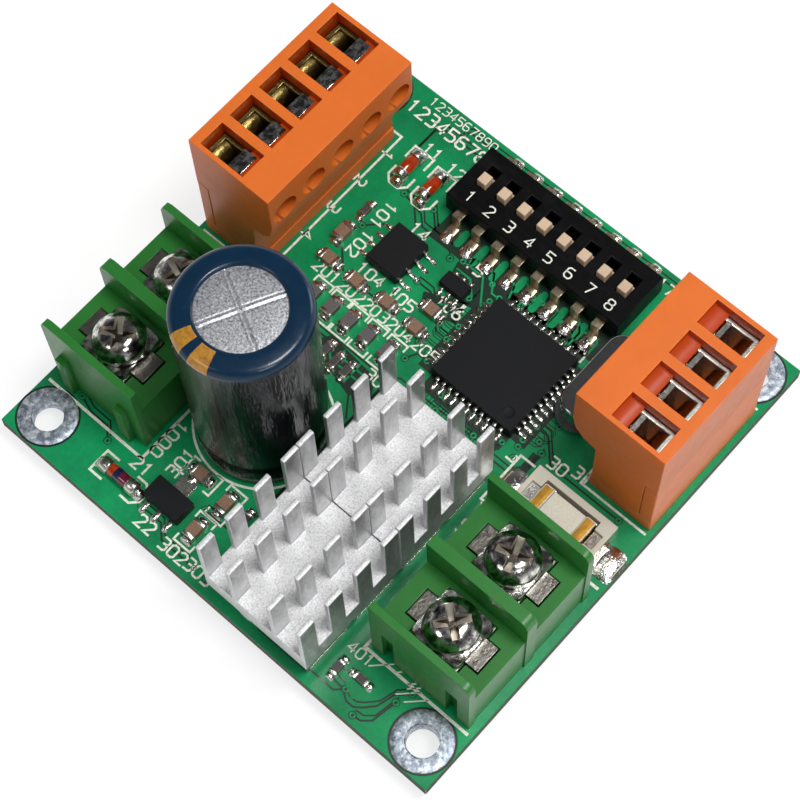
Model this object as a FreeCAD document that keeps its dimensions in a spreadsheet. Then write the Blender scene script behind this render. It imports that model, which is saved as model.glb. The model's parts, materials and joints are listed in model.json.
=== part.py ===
import FreeCAD, Part
import Sketcher
import os
import re

# Motor driver module on a square circuit board. Millimetres, +Z up. The origin is the centre of the
# four mounting holes on the board's underside. x and y places below are measured from the board's
# near left corner, heights from its top face, and insets from its nearest edge.

SIZES = {
    # circuit board
    "board_side": 54.6, "board_thick": 1.6, "hole_inset": 3.2, "hole_radius": 1.6,
    "lead_hole_gap": 0.15, "lead_tail": 1.6,
    # pluggable terminals and their pin headers; insets run from the plug's outer face inwards
    "plug_pitch": 3.96, "plug_deep": 10.1, "plug_high": 17.5, "plug_edge_inset": 0.6,
    "plug_foot_deep": 7.2, "plug_foot_high": 8.8, "plug_step": 1.5, "plug_taper_low": 9.2,
    "plug_taper_high": 12.2, "plug_seam": 0.05,
    "header_wall": 1.45, "header_high": 9.5, "header_deep": 7.4, "header_floor": 2.05,
    "pin_square": 1.0, "pin_inset": 3.6, "pin_top": 8.5, "pin_gap": 0.05,
    "signal_plug_x": 38.05, "sensor_plug_x": 40.2,
    # wire clamps inside the plugs
    "pole_wall": 0.86, "mouth_lip": 0.085, "mouth_start": 1.09, "mouth_end": 6.45,
    "mouth_step": 1.0, "chamber_floor": 10.8, "chamber_roof": 16.0, "clamp_level": 13.6,
    "contact_top": 16.3,
    "cage_start": 1.3, "cage_far_wall": 0.5, "cage_inside": 3.4, "cage_near_wall": 1.3,
    "cage_side_wall": 0.45, "cage_gap": 0.1, "cage_high": 4.6,
    "clamp_pitch": 0.5, "clamp_turns": 2, "clamp_end_gap": 0.4, "clamp_shank": 1.0,
    "clamp_head": 1.4, "clamp_head_high": 0.8, "clamp_head_gap": 0.1, "clamp_slot": 0.5,
    "contact_thick": 0.6, "contact_foot_low": 2.6, "contact_bridge": 9.0, "fork_gap": 0.15,
    # barrier terminals
    "bay_pitch": 8.25, "mid_wall": 1.3, "end_wall": 0.8, "barrier_deep": 11.8, "barrier_high": 12.0,
    "barrier_edge_inset": 0.8, "barrier_round": 0.9, "platform_high": 7.6, "platform_inset": 0.15,
    "strip_wide": 2.9, "strip_long": 8.4, "strip_thick": 0.8, "strip_proud": 0.2, "strip_drop": 4.4,
    "strip_gap": 0.1, "leg_wide": 1.2, "barrier_screw_inset": 5.7, "washer_side": 5.6,
    "washer_thick": 0.8, "screw_head": 2.65, "screw_head_high": 2.2, "screw_dome": 1.1,
    "screw_shank": 1.45, "screw_long": 6.8, "thread_gap": 0.05, "well_gap": 0.5, "recess_wide": 1.0,
    "recess_long": 3.6, "recess_deep": 1.2, "motor_terminal_x": 15.2, "power_terminal_x": 15.6,
    "key_proud": 0.7, "key_wide": 1.2, "key_high": 6.6, "key_inset": 2.1, "key_gap": 0.1,
    # DIP switch
    "dip_x": 48.65, "dip_y": 26.3, "dip_pitch": 2.54, "dip_margin": 2.06, "dip_wide": 6.9,
    "dip_low": 0.5, "dip_high": 3.6, "dip_roof": 0.7, "slider_long": 1.2, "slider_wide": 1.1,
    "slider_top": 4.3, "slider_flange": 0.5, "slider_travel": 1.2, "slider_gap": 0.1,
    "slider_low": 1.6, "dip_chamber_low": 1.5, "dip_lead_wide": 1.1, "dip_lead_level": 1.9,
    "dip_lead_out": 0.9, "dip_foot_out": 1.95, "dip_contact_in": 1.0, "lead_thick": 0.25,
    # electrolytic capacitor
    "capacitor_x": 16.5, "capacitor_y": 35.3, "capacitor_radius": 6.5, "capacitor_high": 26.0,
    "sleeve_thick": 0.3, "sleeve_low": 0.3, "sleeve_mouth": 4.18, "sleeve_gap": 0.02,
    "can_wall": 0.4, "bung_high": 3.0, "capacitor_lead": 0.4, "capacitor_lead_pitch": 5.0,
    # heat sinks, thermal pads and power transistors
    "sink_seam_x": 13.63, "sink_y": 21.23, "sink_apart": 0.05, "fin_pitch": 3.65, "fin_wide": 1.95,
    "fin_thick": 0.55, "sink_deep": 12.5, "sink_base": 2.7, "sink_high": 12.9, "fin_row": 2.45,
    "pad_thick": 0.3, "transistor_wide": 6.1, "transistor_long": 6.2, "transistor_high": 2.3,
    "transistor_low": 0.3, "transistor_gap": 0.3, "transistor_inset": 0.4, "transistor_lead": 2.4,
    "transistor_lead_wide": 0.8, "transistor_lead_pitch": 4.6,
    # integrated circuits
    "mcu_x": 35.8, "mcu_y": 21.5, "mcu_side": 10.0, "mcu_pitch": 0.8, "mcu_low": 0.2, "mcu_high": 1.7,
    "mcu_lead_wide": 0.36, "mcu_lead_level": 0.85, "mcu_lead_out": 0.4, "mcu_foot_out": 1.2,
    "dimple_radius": 0.6, "dimple_deep": 0.1, "dimple_inset": 1.4,
    "driver_x": 38.1, "driver_y": 37.4, "driver_long": 4.9, "driver_wide": 3.9, "driver_pitch": 1.27,
    "driver_high": 1.6, "driver_lead_wide": 0.42, "driver_lead_out": 0.3, "driver_foot_out": 1.1,
    "gate_x": 39.2, "gate_y": 30.8, "gate_long": 2.9, "gate_wide": 1.6, "gate_pitch": 0.95,
    "gate_high": 1.2, "gate_lead_out": 0.3, "gate_foot_out": 0.6, "chip_lead_level": 0.6,
    "regulator_x": 4.6, "regulator_y": 36.4, "regulator_long": 4.4, "regulator_wide": 2.4,
    "regulator_high": 1.5, "regulator_pitch": 1.5, "regulator_tab": 1.8, "regulator_lead_wide": 0.5,
    "package_low": 0.1,
    # crystal
    "crystal_x": 40.2, "crystal_y": 13.2, "crystal_long": 10.2, "crystal_wide": 3.8,
    "crystal_high": 3.9, "crystal_low": 0.4, "crystal_flange": 0.4, "crystal_base": 0.5,
    "crystal_lead": 0.22, "crystal_lead_pitch": 4.88,
    # fuse and its holder
    "fuse_from_terminal": 3.8, "fuse_y": 7.2, "holder_wide": 5.0, "holder_long": 9.5,
    "holder_high": 3.0, "fuse_side": 2.7, "fuse_long": 6.1, "fuse_cap": 1.15, "fuse_low": 0.7,
    "fuse_waist": 0.08, "fuse_gap": 0.15, "clip_thick": 0.25, "clip_gap": 0.03,
    "clip_pad": 2.2, "holder_slot": 1.0,
    # small parts
    "diode_radius": 0.8, "diode_long": 3.5, "rear_diode_long": 4.6,
    "small_long": 1.6, "small_wide": 0.8, "small_high": 0.5,
    "medium_long": 2.0, "medium_wide": 1.25, "medium_high": 0.9,
}

# Chip parts: size class, centre from the near left corner, and the axis that they lie along.
CHIPS = [
    ("medium", 35.8, 30.9, "y"), ("medium", 33.35, 30.85, "y"), ("medium", 33.55, 34.75, "y"),
    ("medium", 33.3, 38.55, "y"), ("medium", 33.4, 42.2, "y"), ("medium", 8.55, 36.0, "y"),
    ("medium", 36.45, 43.2, "x"), ("small", 39.85, 43.2, "x"), ("medium", 4.1, 32.6, "x"),
    ("medium", 29.65, 38.5, "x"), ("medium", 29.65, 36.2, "x"), ("medium", 29.65, 33.75, "x"),
    ("medium", 29.65, 40.9, "x"), ("medium", 29.65, 31.2, "x"), ("medium", 7.9, 32.2, "x"),
    ("small", 25.6, 34.4, "x"), ("small", 25.6, 32.9, "x"), ("small", 26.0, 35.9, "x"),
    ("small", 3.8, 11.2, "y"), ("small", 3.2, 13.6, "x"), ("small", 8.0, 29.9, "x"),
]
GLASS_DIODES = [("diode", 46.2, 43.1, "x"), ("diode", 45.9, 39.8, "x"), ("rear_diode", 3.25, 41.6, "y")]

TERMINALS = {"motor": 0, "power": 180}
PLUGS = {"signal": (5, 180), "sensor": (4, 0)}
BAYS = 2
DIP_WAYS = 8
FINS = 4

doc = FreeCAD.newDocument("DriverModule")
sheet = doc.addObject("Spreadsheet::Sheet", "Dims")
cuts = []
parts = []


def write_cells(cells):
    for row, (name, value) in enumerate(cells.items(), start=1):
        sheet.set(f"A{row}", name)
        sheet.set(f"B{row}", str(value))
        sheet.setAlias(f"B{row}", name)
    doc.recompute()


def bound(formula):
    """The formula with the sheet's name before each alias in it."""
    return re.sub(r"[a-z_]{3,}", lambda alias: "Dims." + alias.group(), str(formula))


def bind(item, path, formula):
    item.setExpression(path, bound(formula))


def place(item, x, y, z="board_thick", turn=0, tilt=0):
    """Stands a piece at a place in the frame, turned about Z after a tilt about X."""
    about_z = FreeCAD.Rotation(FreeCAD.Vector(0, 0, 1), turn)
    about_x = FreeCAD.Rotation(FreeCAD.Vector(1, 0, 0), tilt)
    item.Placement = FreeCAD.Placement(FreeCAD.Vector(), about_z * about_x)
    for axis, formula in zip("xyz", (x, y, z)):
        bind(item, ".Placement.Base." + axis, formula)
    return item


def from_corner(x, y):
    return f"{x} - board_side / 2", f"{y} - board_side / 2"


def box(long, wide, high, x=0, y=0, z=0):
    """A block centred on x and y that stands on z."""
    item = doc.addObject("Part::Box", "Block")
    bind(item, "Length", long)
    bind(item, "Width", wide)
    bind(item, "Height", high)
    return place(item, f"{x} - ({long}) / 2", f"{y} - ({wide}) / 2", z)


def rod(radius, high, x=0, y=0, z=0, tilt=0):
    """A cylinder up from z, or towards +Y when it is tilted by -90 degrees."""
    item = doc.addObject("Part::Cylinder", "Rod")
    bind(item, "Radius", radius)
    bind(item, "Height", high)
    return place(item, x, y, z, tilt=tilt)


def fuse(items):
    item = doc.addObject("Part::MultiFuse", "Fuse")
    item.Shapes = items
    item.Refine = True
    return item


def cut(base, tools):
    item = doc.addObject("Part::Cut", "Cut")
    item.Base = base
    item.Tool = tools[0] if len(tools) == 1 else fuse(tools)
    cuts.append(item)
    return item


def group(items):
    item = doc.addObject("Part::Compound", "Group")
    item.Links = items
    return item


def keep(item, name):
    """Names a finished sub-part, which is also the name of its file."""
    item.Label = name
    parts.append(item)
    return item


def sketch(body, role, loops, circles=(), level=0):
    """A sketch on one of the body's origin planes: closed loops of corners, and circles (x, y, radius)."""
    plane = next(feature for feature in body.Origin.OriginFeatures if feature.Role == role)
    item = body.newObject("Sketcher::SketchObject", "Outline")
    item.AttachmentSupport = [(plane, "")]
    item.MapMode = "FlatFace"
    bind(item, ".AttachmentOffset.Base.z", level)
    for corners in loops:
        first = item.GeometryCount
        rough = [FreeCAD.Vector(*(float(sheet.evalExpression(bound(c))) for c in xy)) for xy in corners]
        for start, end in zip(rough, rough[1:] + rough[:1]):
            item.addGeometry(Part.LineSegment(start, end))
        for index, (x, y) in enumerate(corners):
            line = first + index
            following = first + (index + 1) % len(corners)
            item.addConstraint(Sketcher.Constraint("Coincident", line, 2, following, 1))
            fix_point(item, line, 1, x, y, rough[index])
    for x, y, radius in circles:
        centre = FreeCAD.Vector(*(float(sheet.evalExpression(bound(c))) for c in (x, y)))
        line = item.addGeometry(Part.Circle(centre, FreeCAD.Vector(0, 0, 1), 1))
        fix_point(item, line, 3, x, y, centre)
        bind(item, f"Constraints[{item.addConstraint(Sketcher.Constraint('Radius', line, 1))}]", radius)
    return item


def fix_point(item, line, end, x, y, rough):
    for kind, formula, near in (("DistanceX", x, rough.x), ("DistanceY", y, rough.y)):
        constraint = item.addConstraint(Sketcher.Constraint(kind, -1, 1, line, end, near))
        bind(item, f"Constraints[{constraint}]", formula)


def padded(role, loops, length, circles=(), level=0):
    """A body made by padding one sketch."""
    body = doc.addObject("PartDesign::Body", "Body")
    pad = body.newObject("PartDesign::Pad", "Pad")
    pad.Profile = sketch(body, role, loops, circles, level)
    bind(pad, "Length", length)
    body.Tip = pad
    return body


def turned(corners):
    """A body turned about its Z axis from corners given as (radius, height)."""
    body = doc.addObject("PartDesign::Body", "Body")
    revolution = body.newObject("PartDesign::Revolution", "Revolution")
    profile = sketch(body, "XZ_Plane", [corners])
    revolution.Profile = profile
    revolution.ReferenceAxis = (profile, ["V_Axis"])
    revolution.Angle = 360
    body.Tip = revolution
    return body


def rectangle(left, low, right, high):
    return [(left, low), (right, low), (right, high), (left, high)]


def middle_out(index, count, pitch):
    """The place of one of a row that is centred on zero."""
    return f"({index - (count - 1) / 2}) * {pitch}"


# Where each terminal stands: its middle on the board's edge, outer face first, and how it is turned.

def plug_place(name, offset=0, z="board_thick", tilt=0):
    turn = PLUGS[name][1]
    sign = -1 if turn else 1
    x = f"{name}_plug_x - board_side / 2 + {sign} * ({offset})"
    y = f"{-sign} * (board_side / 2 - plug_edge_inset)"
    return {"x": x, "y": y, "z": z, "turn": turn, "tilt": tilt}


def terminal_place(name, offset=0, z="board_thick"):
    turn = TERMINALS[name]
    sign = -1 if turn else 1
    x = f"{name}_terminal_x - board_side / 2 + {sign} * ({offset})"
    y = f"{-sign} * (board_side / 2 - barrier_edge_inset)"
    return {"x": x, "y": y, "z": z, "turn": turn}


def inwards(name, inset, spot):
    """The y formula of something that lies an inset inwards of a terminal's outer face."""
    sign = -1 if spot(name)["turn"] else 1
    return f"{spot(name)['y']} + {sign} * ({inset})"


# Circuit board

def lead_holes():
    """Clearance holes for every lead that goes through the board, as (x, y, radius)."""
    square = "pin_square * 0.7071 + lead_hole_gap"
    holes = []
    for name, (ways, _) in PLUGS.items():
        for index in range(ways):
            spot = plug_place(name, middle_out(index, ways, "plug_pitch"))
            holes.append((spot["x"], inwards(name, "pin_inset", plug_place), square))
    for name in TERMINALS:
        for index in range(BAYS):
            spot = terminal_place(name, middle_out(index, BAYS, "bay_pitch"))
            for side in (-1, 1):
                inset = f"barrier_screw_inset + {side} * (strip_long - strip_thick) / 2"
                y = inwards(name, inset, terminal_place)
                holes.append((spot["x"], y, "leg_wide * 0.6 + lead_hole_gap"))
    for lead, radius in (("capacitor", "capacitor_lead"), ("crystal", "crystal_lead")):
        for side in (-1, 1):
            x, y = from_corner(f"{lead}_x + {side} * {lead}_lead_pitch / 2", f"{lead}_y")
            holes.append((x, y, f"{radius} + lead_hole_gap"))
    return holes


def circuit_board():
    half = "board_side / 2"
    reach = "(board_side / 2 - hole_inset)"
    corners = [(f"{a} * {reach}", f"{b} * {reach}", "hole_radius") for a in (-1, 1) for b in (-1, 1)]
    edge = rectangle(f"-{half}", f"-{half}", half, half)
    keep(padded("XY_Plane", [edge], "board_thick", corners + lead_holes()), "circuit_board")


# Pluggable terminals

def plug_headers():
    headers = []
    for name, (ways, _) in PLUGS.items():
        width = f"{ways} * plug_pitch"
        profile = [("0", "0"), ("header_deep", "0"), ("header_deep", "header_floor"),
                   ("header_wall", "header_floor"), ("header_wall", "header_high"), ("0", "header_high")]
        body = padded("YZ_Plane", [profile], width, level=f"-({width}) / 2")
        holes = [box("pin_square", "pin_square", "header_floor + 1", middle_out(index, ways, "plug_pitch"),
                     "pin_inset", "-0.5") for index in range(ways)]
        headers.append(place(cut(body, holes), **plug_place(name)))
    keep(group(headers), "plug_headers")


def header_pins():
    pins = []
    for name, (ways, _) in PLUGS.items():
        for index in range(ways):
            pin = box("pin_square", "pin_square", "board_thick + lead_tail + pin_top")
            spot = plug_place(name, middle_out(index, ways, "plug_pitch"))
            place(pin, f"{spot['x']} - pin_square / 2",
                  f"{inwards(name, 'pin_inset', plug_place)} - pin_square / 2", "-lead_tail")
            pins.append(pin)
    keep(group(pins), "header_pins")


CAGE_END = "(cage_start + cage_far_wall + cage_inside + cage_near_wall)"
CHAMBER_END = f"({CAGE_END} + clamp_pitch * clamp_turns + clamp_end_gap)"
CHAMBER_WIDE = "(plug_pitch - pole_wall)"
MOUTH_WIDE = f"({CHAMBER_WIDE} - 2 * mouth_lip)"
CAGE_WIDE = f"({CHAMBER_WIDE} - 2 * cage_gap)"
CONTACT_START = "(pin_inset + pin_square / 2 + pin_gap)"
CONTACT_WIDE = f"({CAGE_WIDE} - 2 * cage_side_wall - 2 * pin_gap)"
FORK_START = "(pin_inset - pin_square / 2 - pin_gap - contact_thick)"
CONTACT_END = f"({CONTACT_START} + contact_thick)"
CONTACT_MIDDLE = f"({CONTACT_START} + contact_thick / 2)"


def plug_housing(name, ways):
    """The moulded shell: one profile padded across its poles, hollowed for each clamp and contact."""
    width = f"{ways} * plug_pitch"
    foot_front = "header_wall + plug_seam"
    foot_low = "header_floor + plug_seam"
    shoulder = "header_high + plug_seam"
    profile = [(foot_front, foot_low), ("plug_foot_deep", foot_low), ("plug_foot_deep", "plug_foot_high"),
               ("plug_foot_deep + plug_step", "plug_taper_low"),
               ("plug_deep - 0.4", "(plug_taper_low + plug_taper_high) / 2 - 0.4"),
               ("plug_deep", "plug_taper_high"), ("plug_deep", "plug_high"), ("0", "plug_high"),
               ("0", shoulder), (foot_front, shoulder)]
    shell = padded("YZ_Plane", [profile], width, level=f"-({width}) / 2")
    hollows = []
    for index in range(ways):
        x = middle_out(index, ways, "plug_pitch")
        chamber_long = f"{CHAMBER_END} - mouth_start"
        hollows.append(box(CHAMBER_WIDE, chamber_long, "chamber_roof - chamber_floor", x,
                           f"mouth_start + ({chamber_long}) / 2", "chamber_floor"))
        wire_long = f"{CONTACT_END} + fork_gap - mouth_start"
        hollows.append(box(MOUTH_WIDE, wire_long, "plug_high - chamber_floor", x,
                           f"mouth_start + ({wire_long}) / 2", "chamber_floor + 1"))
        hollows.append(box(MOUTH_WIDE, "mouth_end - mouth_start", "2 * mouth_step", x,
                           "(mouth_start + mouth_end) / 2", "plug_high - mouth_step"))
        fork_long = f"{CONTACT_END} - {FORK_START} + 2 * fork_gap"
        hollows.append(box(f"{CONTACT_WIDE} + 2 * fork_gap", fork_long,
                           "contact_bridge + contact_thick + fork_gap", x,
                           f"({CONTACT_END} + {FORK_START}) / 2", 0))
        hollows.append(box(f"{CONTACT_WIDE} + 2 * pin_gap", "contact_thick + 2 * pin_gap",
                           "chamber_floor - 1", x, CONTACT_MIDDLE, 2))
        hollows.append(rod("clamp_head + clamp_head_gap", "plug_deep", x, f"{CHAMBER_END} - 0.01",
                           "clamp_level", tilt=-90))
    keep(place(cut(shell, hollows), **plug_place(name)), f"{name}_plug_housing")


def plug_contacts(name, ways):
    """One plate per pole: the wire is pressed on it above, and it forks round the header pin below."""
    plates = []
    for index in range(ways):
        x = middle_out(index, ways, "plug_pitch")
        plate = box(CONTACT_WIDE, "contact_thick", "contact_top - contact_foot_low", x, CONTACT_MIDDLE,
                    "contact_foot_low")
        bridge = box(CONTACT_WIDE, f"{CONTACT_END} - {FORK_START}", "contact_thick", x,
                     f"({CONTACT_END} + {FORK_START}) / 2", "contact_bridge")
        blade_high = "contact_bridge - contact_foot_low + contact_thick / 2"
        blade = box(CONTACT_WIDE, "contact_thick", blade_high, x, f"{FORK_START} + contact_thick / 2",
                    "contact_foot_low")
        plates.append(fuse([plate, bridge, blade]))
    keep(place(group(plates), **plug_place(name)), f"{name}_plug_contacts")


def clamp_cage(name, ways, index):
    """A rectangular loop round the contact plate, with the screw's thread in its near wall."""
    half = f"{CAGE_WIDE} / 2"
    inner = f"({half} - cage_side_wall)"
    inside_start = "cage_start + cage_far_wall"
    loops = [rectangle(f"-{half}", "cage_start", half, CAGE_END),
             rectangle(f"-{inner}", inside_start, inner, f"{inside_start} + cage_inside")]
    loop = padded("XY_Plane", loops, "cage_high", level="clamp_level - cage_high / 2")
    thread = rod("clamp_shank + thread_gap", "cage_near_wall + 1", 0, f"{CAGE_END} - cage_near_wall - 0.5",
                 "clamp_level", tilt=-90)
    spot = plug_place(name, middle_out(index, ways, "plug_pitch"))
    keep(place(cut(loop, [thread]), **spot), f"{name}_clamp_cage_{index + 1}")


def clamp_screw(name, ways, index):
    """A slotted captive screw; its profile's heights are insets from the plug's outer face."""
    tip = f"{CONTACT_END} + pin_gap"
    under_head = f"{CHAMBER_END} + clamp_head_gap"
    head_top = f"{under_head} + clamp_head_high"
    profile = [("0", tip), ("clamp_shank", tip), ("clamp_shank", under_head), ("clamp_head", under_head),
               ("clamp_head", head_top), ("0", head_top)]
    slot = box("3 * clamp_head", "clamp_slot", "clamp_head_high", 0, 0, f"{head_top} - clamp_head_high / 2")
    screw = cut(turned(profile), [slot])
    spot = plug_place(name, middle_out(index, ways, "plug_pitch"), "board_thick + clamp_level", tilt=-90)
    keep(place(screw, **spot), f"{name}_clamp_screw_{index + 1}")


# Barrier terminals

BAY_WIDE = "(bay_pitch - mid_wall)"
STRIP_TOP = "(platform_high + strip_proud)"
STRIP_LOW = f"({STRIP_TOP} - strip_thick)"
SCREW_TIP = f"({STRIP_TOP} + washer_thick - screw_long)"


def barrier_wall(x, thick):
    """An upright wall between or beside the bays, rounded at its outer top corner."""
    profile = [("0", "0"), ("barrier_deep", "0"), ("barrier_deep", "barrier_high"),
               ("barrier_round", "barrier_high"),
               ("barrier_round * 0.3", "barrier_high - barrier_round * 0.3"),
               ("0", "barrier_high - barrier_round")]
    return padded("YZ_Plane", [profile], thick, level=f"{x} - ({thick}) / 2")


def terminal_housing(name):
    """A platform with an upright wall at each end and between its two bays."""
    middle = "barrier_screw_inset"
    half_bays = f"({BAYS} * bay_pitch - mid_wall) / 2"
    platform_deep = "barrier_deep - 2 * platform_inset"
    pieces = [box(f"2 * {half_bays} + end_wall", platform_deep, "platform_high", 0, "barrier_deep / 2")]
    pieces += [barrier_wall(f"{side} * ({half_bays} + end_wall / 2)", "end_wall") for side in (-1, 1)]
    pieces += [barrier_wall(middle_out(index, BAYS - 1, "bay_pitch"), "mid_wall")
               for index in range(BAYS - 1)]
    tools = []
    # Blocks of this kind join end to end: two tongues on one end fit two grooves in the other.
    for inset in ("key_inset", "barrier_deep - key_inset"):
        pieces.append(box("key_proud + end_wall / 2", "key_wide", "key_high",
                          f"{half_bays} + end_wall * 0.75 + key_proud / 2", inset))
        tools.append(box("key_proud + key_gap + 1", "key_wide + 2 * key_gap", "key_high + key_gap + 1",
                         f"(key_proud + key_gap - 1) / 2 - {half_bays} - end_wall", inset, -1))
    pad_side = "washer_side + 2 * strip_gap"
    for index in range(BAYS):
        x = middle_out(index, BAYS, "bay_pitch")
        tools.append(box(pad_side, pad_side, "strip_thick + 1", x, middle, STRIP_LOW))
        tools.append(box("strip_wide + 2 * strip_gap", "strip_long + 2 * strip_gap", "strip_drop + 1", x,
                         middle, "platform_high - strip_drop"))
        tools.append(rod("screw_shank + well_gap", "platform_high", x, middle, f"{SCREW_TIP} - well_gap"))
        for side in (-1, 1):
            tools.append(box("leg_wide + 2 * strip_gap", "strip_thick + 2 * strip_gap", "platform_high", x,
                             f"{middle} + {side} * (strip_long - strip_thick) / 2", -1))
    keep(place(cut(fuse(pieces), tools), **terminal_place(name)), f"{name}_terminal_housing")


def terminal_contacts():
    """Square pads with a threaded hole and a tongue at each end, bent down to a solder leg."""
    middle = "barrier_screw_inset"
    contacts = []
    for name in TERMINALS:
        for index in range(BAYS):
            pad = box("washer_side", "washer_side", "strip_thick", 0, middle, STRIP_LOW)
            tongue = box("strip_wide", "strip_long", "strip_thick", 0, middle, STRIP_LOW)
            pieces = [pad, tongue]
            for side in (-1, 1):
                y = f"{middle} + {side} * (strip_long - strip_thick) / 2"
                pieces.append(box("strip_wide", "strip_thick", "strip_drop - 0.2", 0, y,
                                  "platform_high - strip_drop + 0.2"))
                pieces.append(box("leg_wide", "strip_thick", "platform_high + board_thick + lead_tail", 0, y,
                                  "-(board_thick + lead_tail)"))
            thread = rod("screw_shank + thread_gap", "strip_thick + 1", 0, middle, f"{STRIP_LOW} - 0.5")
            spot = terminal_place(name, middle_out(index, BAYS, "bay_pitch"))
            contacts.append(place(cut(fuse(pieces), [thread]), **spot))
    keep(group(contacts), "terminal_contacts")


def terminal_washer(name, index):
    middle = "barrier_screw_inset"
    half = "washer_side / 2"
    square = rectangle(f"-{half}", f"{middle} - {half}", half, f"{middle} + {half}")
    hole = ("0", middle, "screw_shank + thread_gap")
    washer = padded("XY_Plane", [square], "washer_thick", [hole], STRIP_TOP)
    spot = terminal_place(name, middle_out(index, BAYS, "bay_pitch"))
    keep(place(washer, **spot), f"{name}_washer_{index + 1}")


def terminal_screw(name, index):
    """A pan-head screw with a cross recess, standing on its washer."""
    seat = f"({STRIP_TOP} + washer_thick)"
    profile = [("0", SCREW_TIP), ("screw_shank", SCREW_TIP), ("screw_shank", seat), ("screw_head", seat),
               ("screw_head", f"{seat} + screw_dome"), ("screw_head * 0.75", f"{seat} + screw_head_high"),
               ("0", f"{seat} + screw_head_high")]
    bottom = f"{seat} + screw_head_high - recess_deep"
    recess = [box("recess_long", "recess_wide", "recess_deep + 1", 0, 0, bottom),
              box("recess_wide", "recess_long", "recess_deep + 1", 0, 0, bottom)]
    screw = cut(turned(profile), recess)
    spot = terminal_place(name, middle_out(index, BAYS, "bay_pitch"))
    spot["y"] = inwards(name, "barrier_screw_inset", terminal_place)
    keep(place(screw, **spot), f"{name}_screw_{index + 1}")


# DIP switch

DIP_LONG = f"({DIP_WAYS - 1} * dip_pitch + 2 * dip_margin)"
SLIDER_TOP_OF_FLANGE = "(dip_high - dip_roof - slider_gap)"


def slider_row(wide, long, low, high):
    """One hollow per way, long enough for the slider's travel towards +X."""
    reach = f"{long} + slider_travel + 2 * slider_gap"
    return [box(reach, f"{wide} + 2 * slider_gap", f"{high} - ({low})", "slider_travel / 2",
                middle_out(index, DIP_WAYS, "dip_pitch"), low) for index in range(DIP_WAYS)]


def dip_switch_housing():
    shell = box("dip_wide", DIP_LONG, "dip_high - dip_low", 0, 0, "dip_low")
    windows = slider_row("slider_wide", "slider_long", "dip_high - dip_roof - 0.1", "dip_high + 1")
    chambers = slider_row("slider_wide + 2 * slider_flange", "slider_long + 2 * slider_flange",
                          "dip_chamber_low", "dip_high - dip_roof")
    slots = [box("dip_contact_in + 0.1", "dip_lead_wide + 0.1", "lead_thick + 0.1",
                 f"{side} * (dip_wide - dip_contact_in) / 2", middle_out(index, DIP_WAYS, "dip_pitch"),
                 "dip_lead_level - 0.05") for index in range(DIP_WAYS) for side in (-1, 1)]
    x, y = from_corner("dip_x", "dip_y")
    keep(place(cut(shell, windows + chambers + slots), x, y), "dip_switch_housing")


def dip_slider(index):
    knob = box("slider_long", "slider_wide", "slider_top - slider_low", 0, 0, "slider_low")
    flange = box("slider_long + 2 * slider_flange", "slider_wide + 2 * slider_flange",
                 f"{SLIDER_TOP_OF_FLANGE} - slider_low", 0, 0, "slider_low")
    x, y = from_corner("dip_x", f"dip_y + {middle_out(index, DIP_WAYS, 'dip_pitch')}")
    keep(place(fuse([knob, flange]), x, y), f"dip_slider_{index + 1}")


def lead_row(count, pitch, wide, inner, out, foot, level):
    """Bent leads of one side, towards +X: out of the package, down, and out again on the board."""
    pieces = []
    for index in range(count):
        y = middle_out(index, count, pitch)
        pieces.append(box(f"{out} - ({inner})", wide, "lead_thick", f"({out} + {inner}) / 2", y, level))
        pieces.append(box("lead_thick", wide, f"{level} + lead_thick", f"{out} - lead_thick / 2", y, 0))
        pieces.append(box(f"{foot} - ({out}) + lead_thick", wide, "lead_thick",
                          f"({foot} + {out} - lead_thick) / 2", y, 0))
    return fuse(pieces)


def dip_switch_contacts():
    x, y = from_corner("dip_x", "dip_y")
    inner = "(dip_wide / 2 - dip_contact_in)"
    out, foot = "(dip_wide / 2 + dip_lead_out)", "(dip_wide / 2 + dip_foot_out)"
    rows = [place(lead_row(DIP_WAYS, "dip_pitch", "dip_lead_wide", inner, out, foot, "dip_lead_level"),
                  x, y, turn=turn) for turn in (0, 180)]
    keep(group(rows), "dip_switch_contacts")


# Capacitor

def capacitor():
    x, y = from_corner("capacitor_x", "capacitor_y")
    can_radius = "(capacitor_radius - sleeve_thick - sleeve_gap)"
    can_top = "(capacitor_high - sleeve_thick - sleeve_gap)"
    bung_radius = f"({can_radius} - can_wall)"
    lip = "capacitor_high - sleeve_thick"
    bore = "(capacitor_radius - sleeve_thick)"
    sleeve = [(bore, "sleeve_low"), ("capacitor_radius", "sleeve_low"),
              ("capacitor_radius", "capacitor_high"), ("sleeve_mouth", "capacitor_high"),
              ("sleeve_mouth", lip), (bore, lip)]
    bung_top = "sleeve_low + bung_high"
    can = [("0", bung_top), (bung_radius, bung_top), (bung_radius, "sleeve_low"),
           (can_radius, "sleeve_low"), (can_radius, can_top), ("0", can_top)]
    keep(place(turned(sleeve), x, y), "capacitor_sleeve")
    keep(place(turned(can), x, y), "capacitor_can")
    offsets = [f"{side} * capacitor_lead_pitch / 2" for side in (-1, 1)]
    bung = cut(rod(f"{bung_radius} - sleeve_gap", "bung_high - sleeve_gap", 0, 0, "sleeve_low"),
               [rod("capacitor_lead + sleeve_gap", "2 * bung_high", offset, 0, -0.5) for offset in offsets])
    leads = [rod("capacitor_lead", "lead_tail + board_thick + bung_high", offset, 0,
                 "-lead_tail - board_thick") for offset in offsets]
    keep(place(group([bung] + leads), x, y), "capacitor_bung")


# Heat sinks, thermal pads and power transistors

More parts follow.
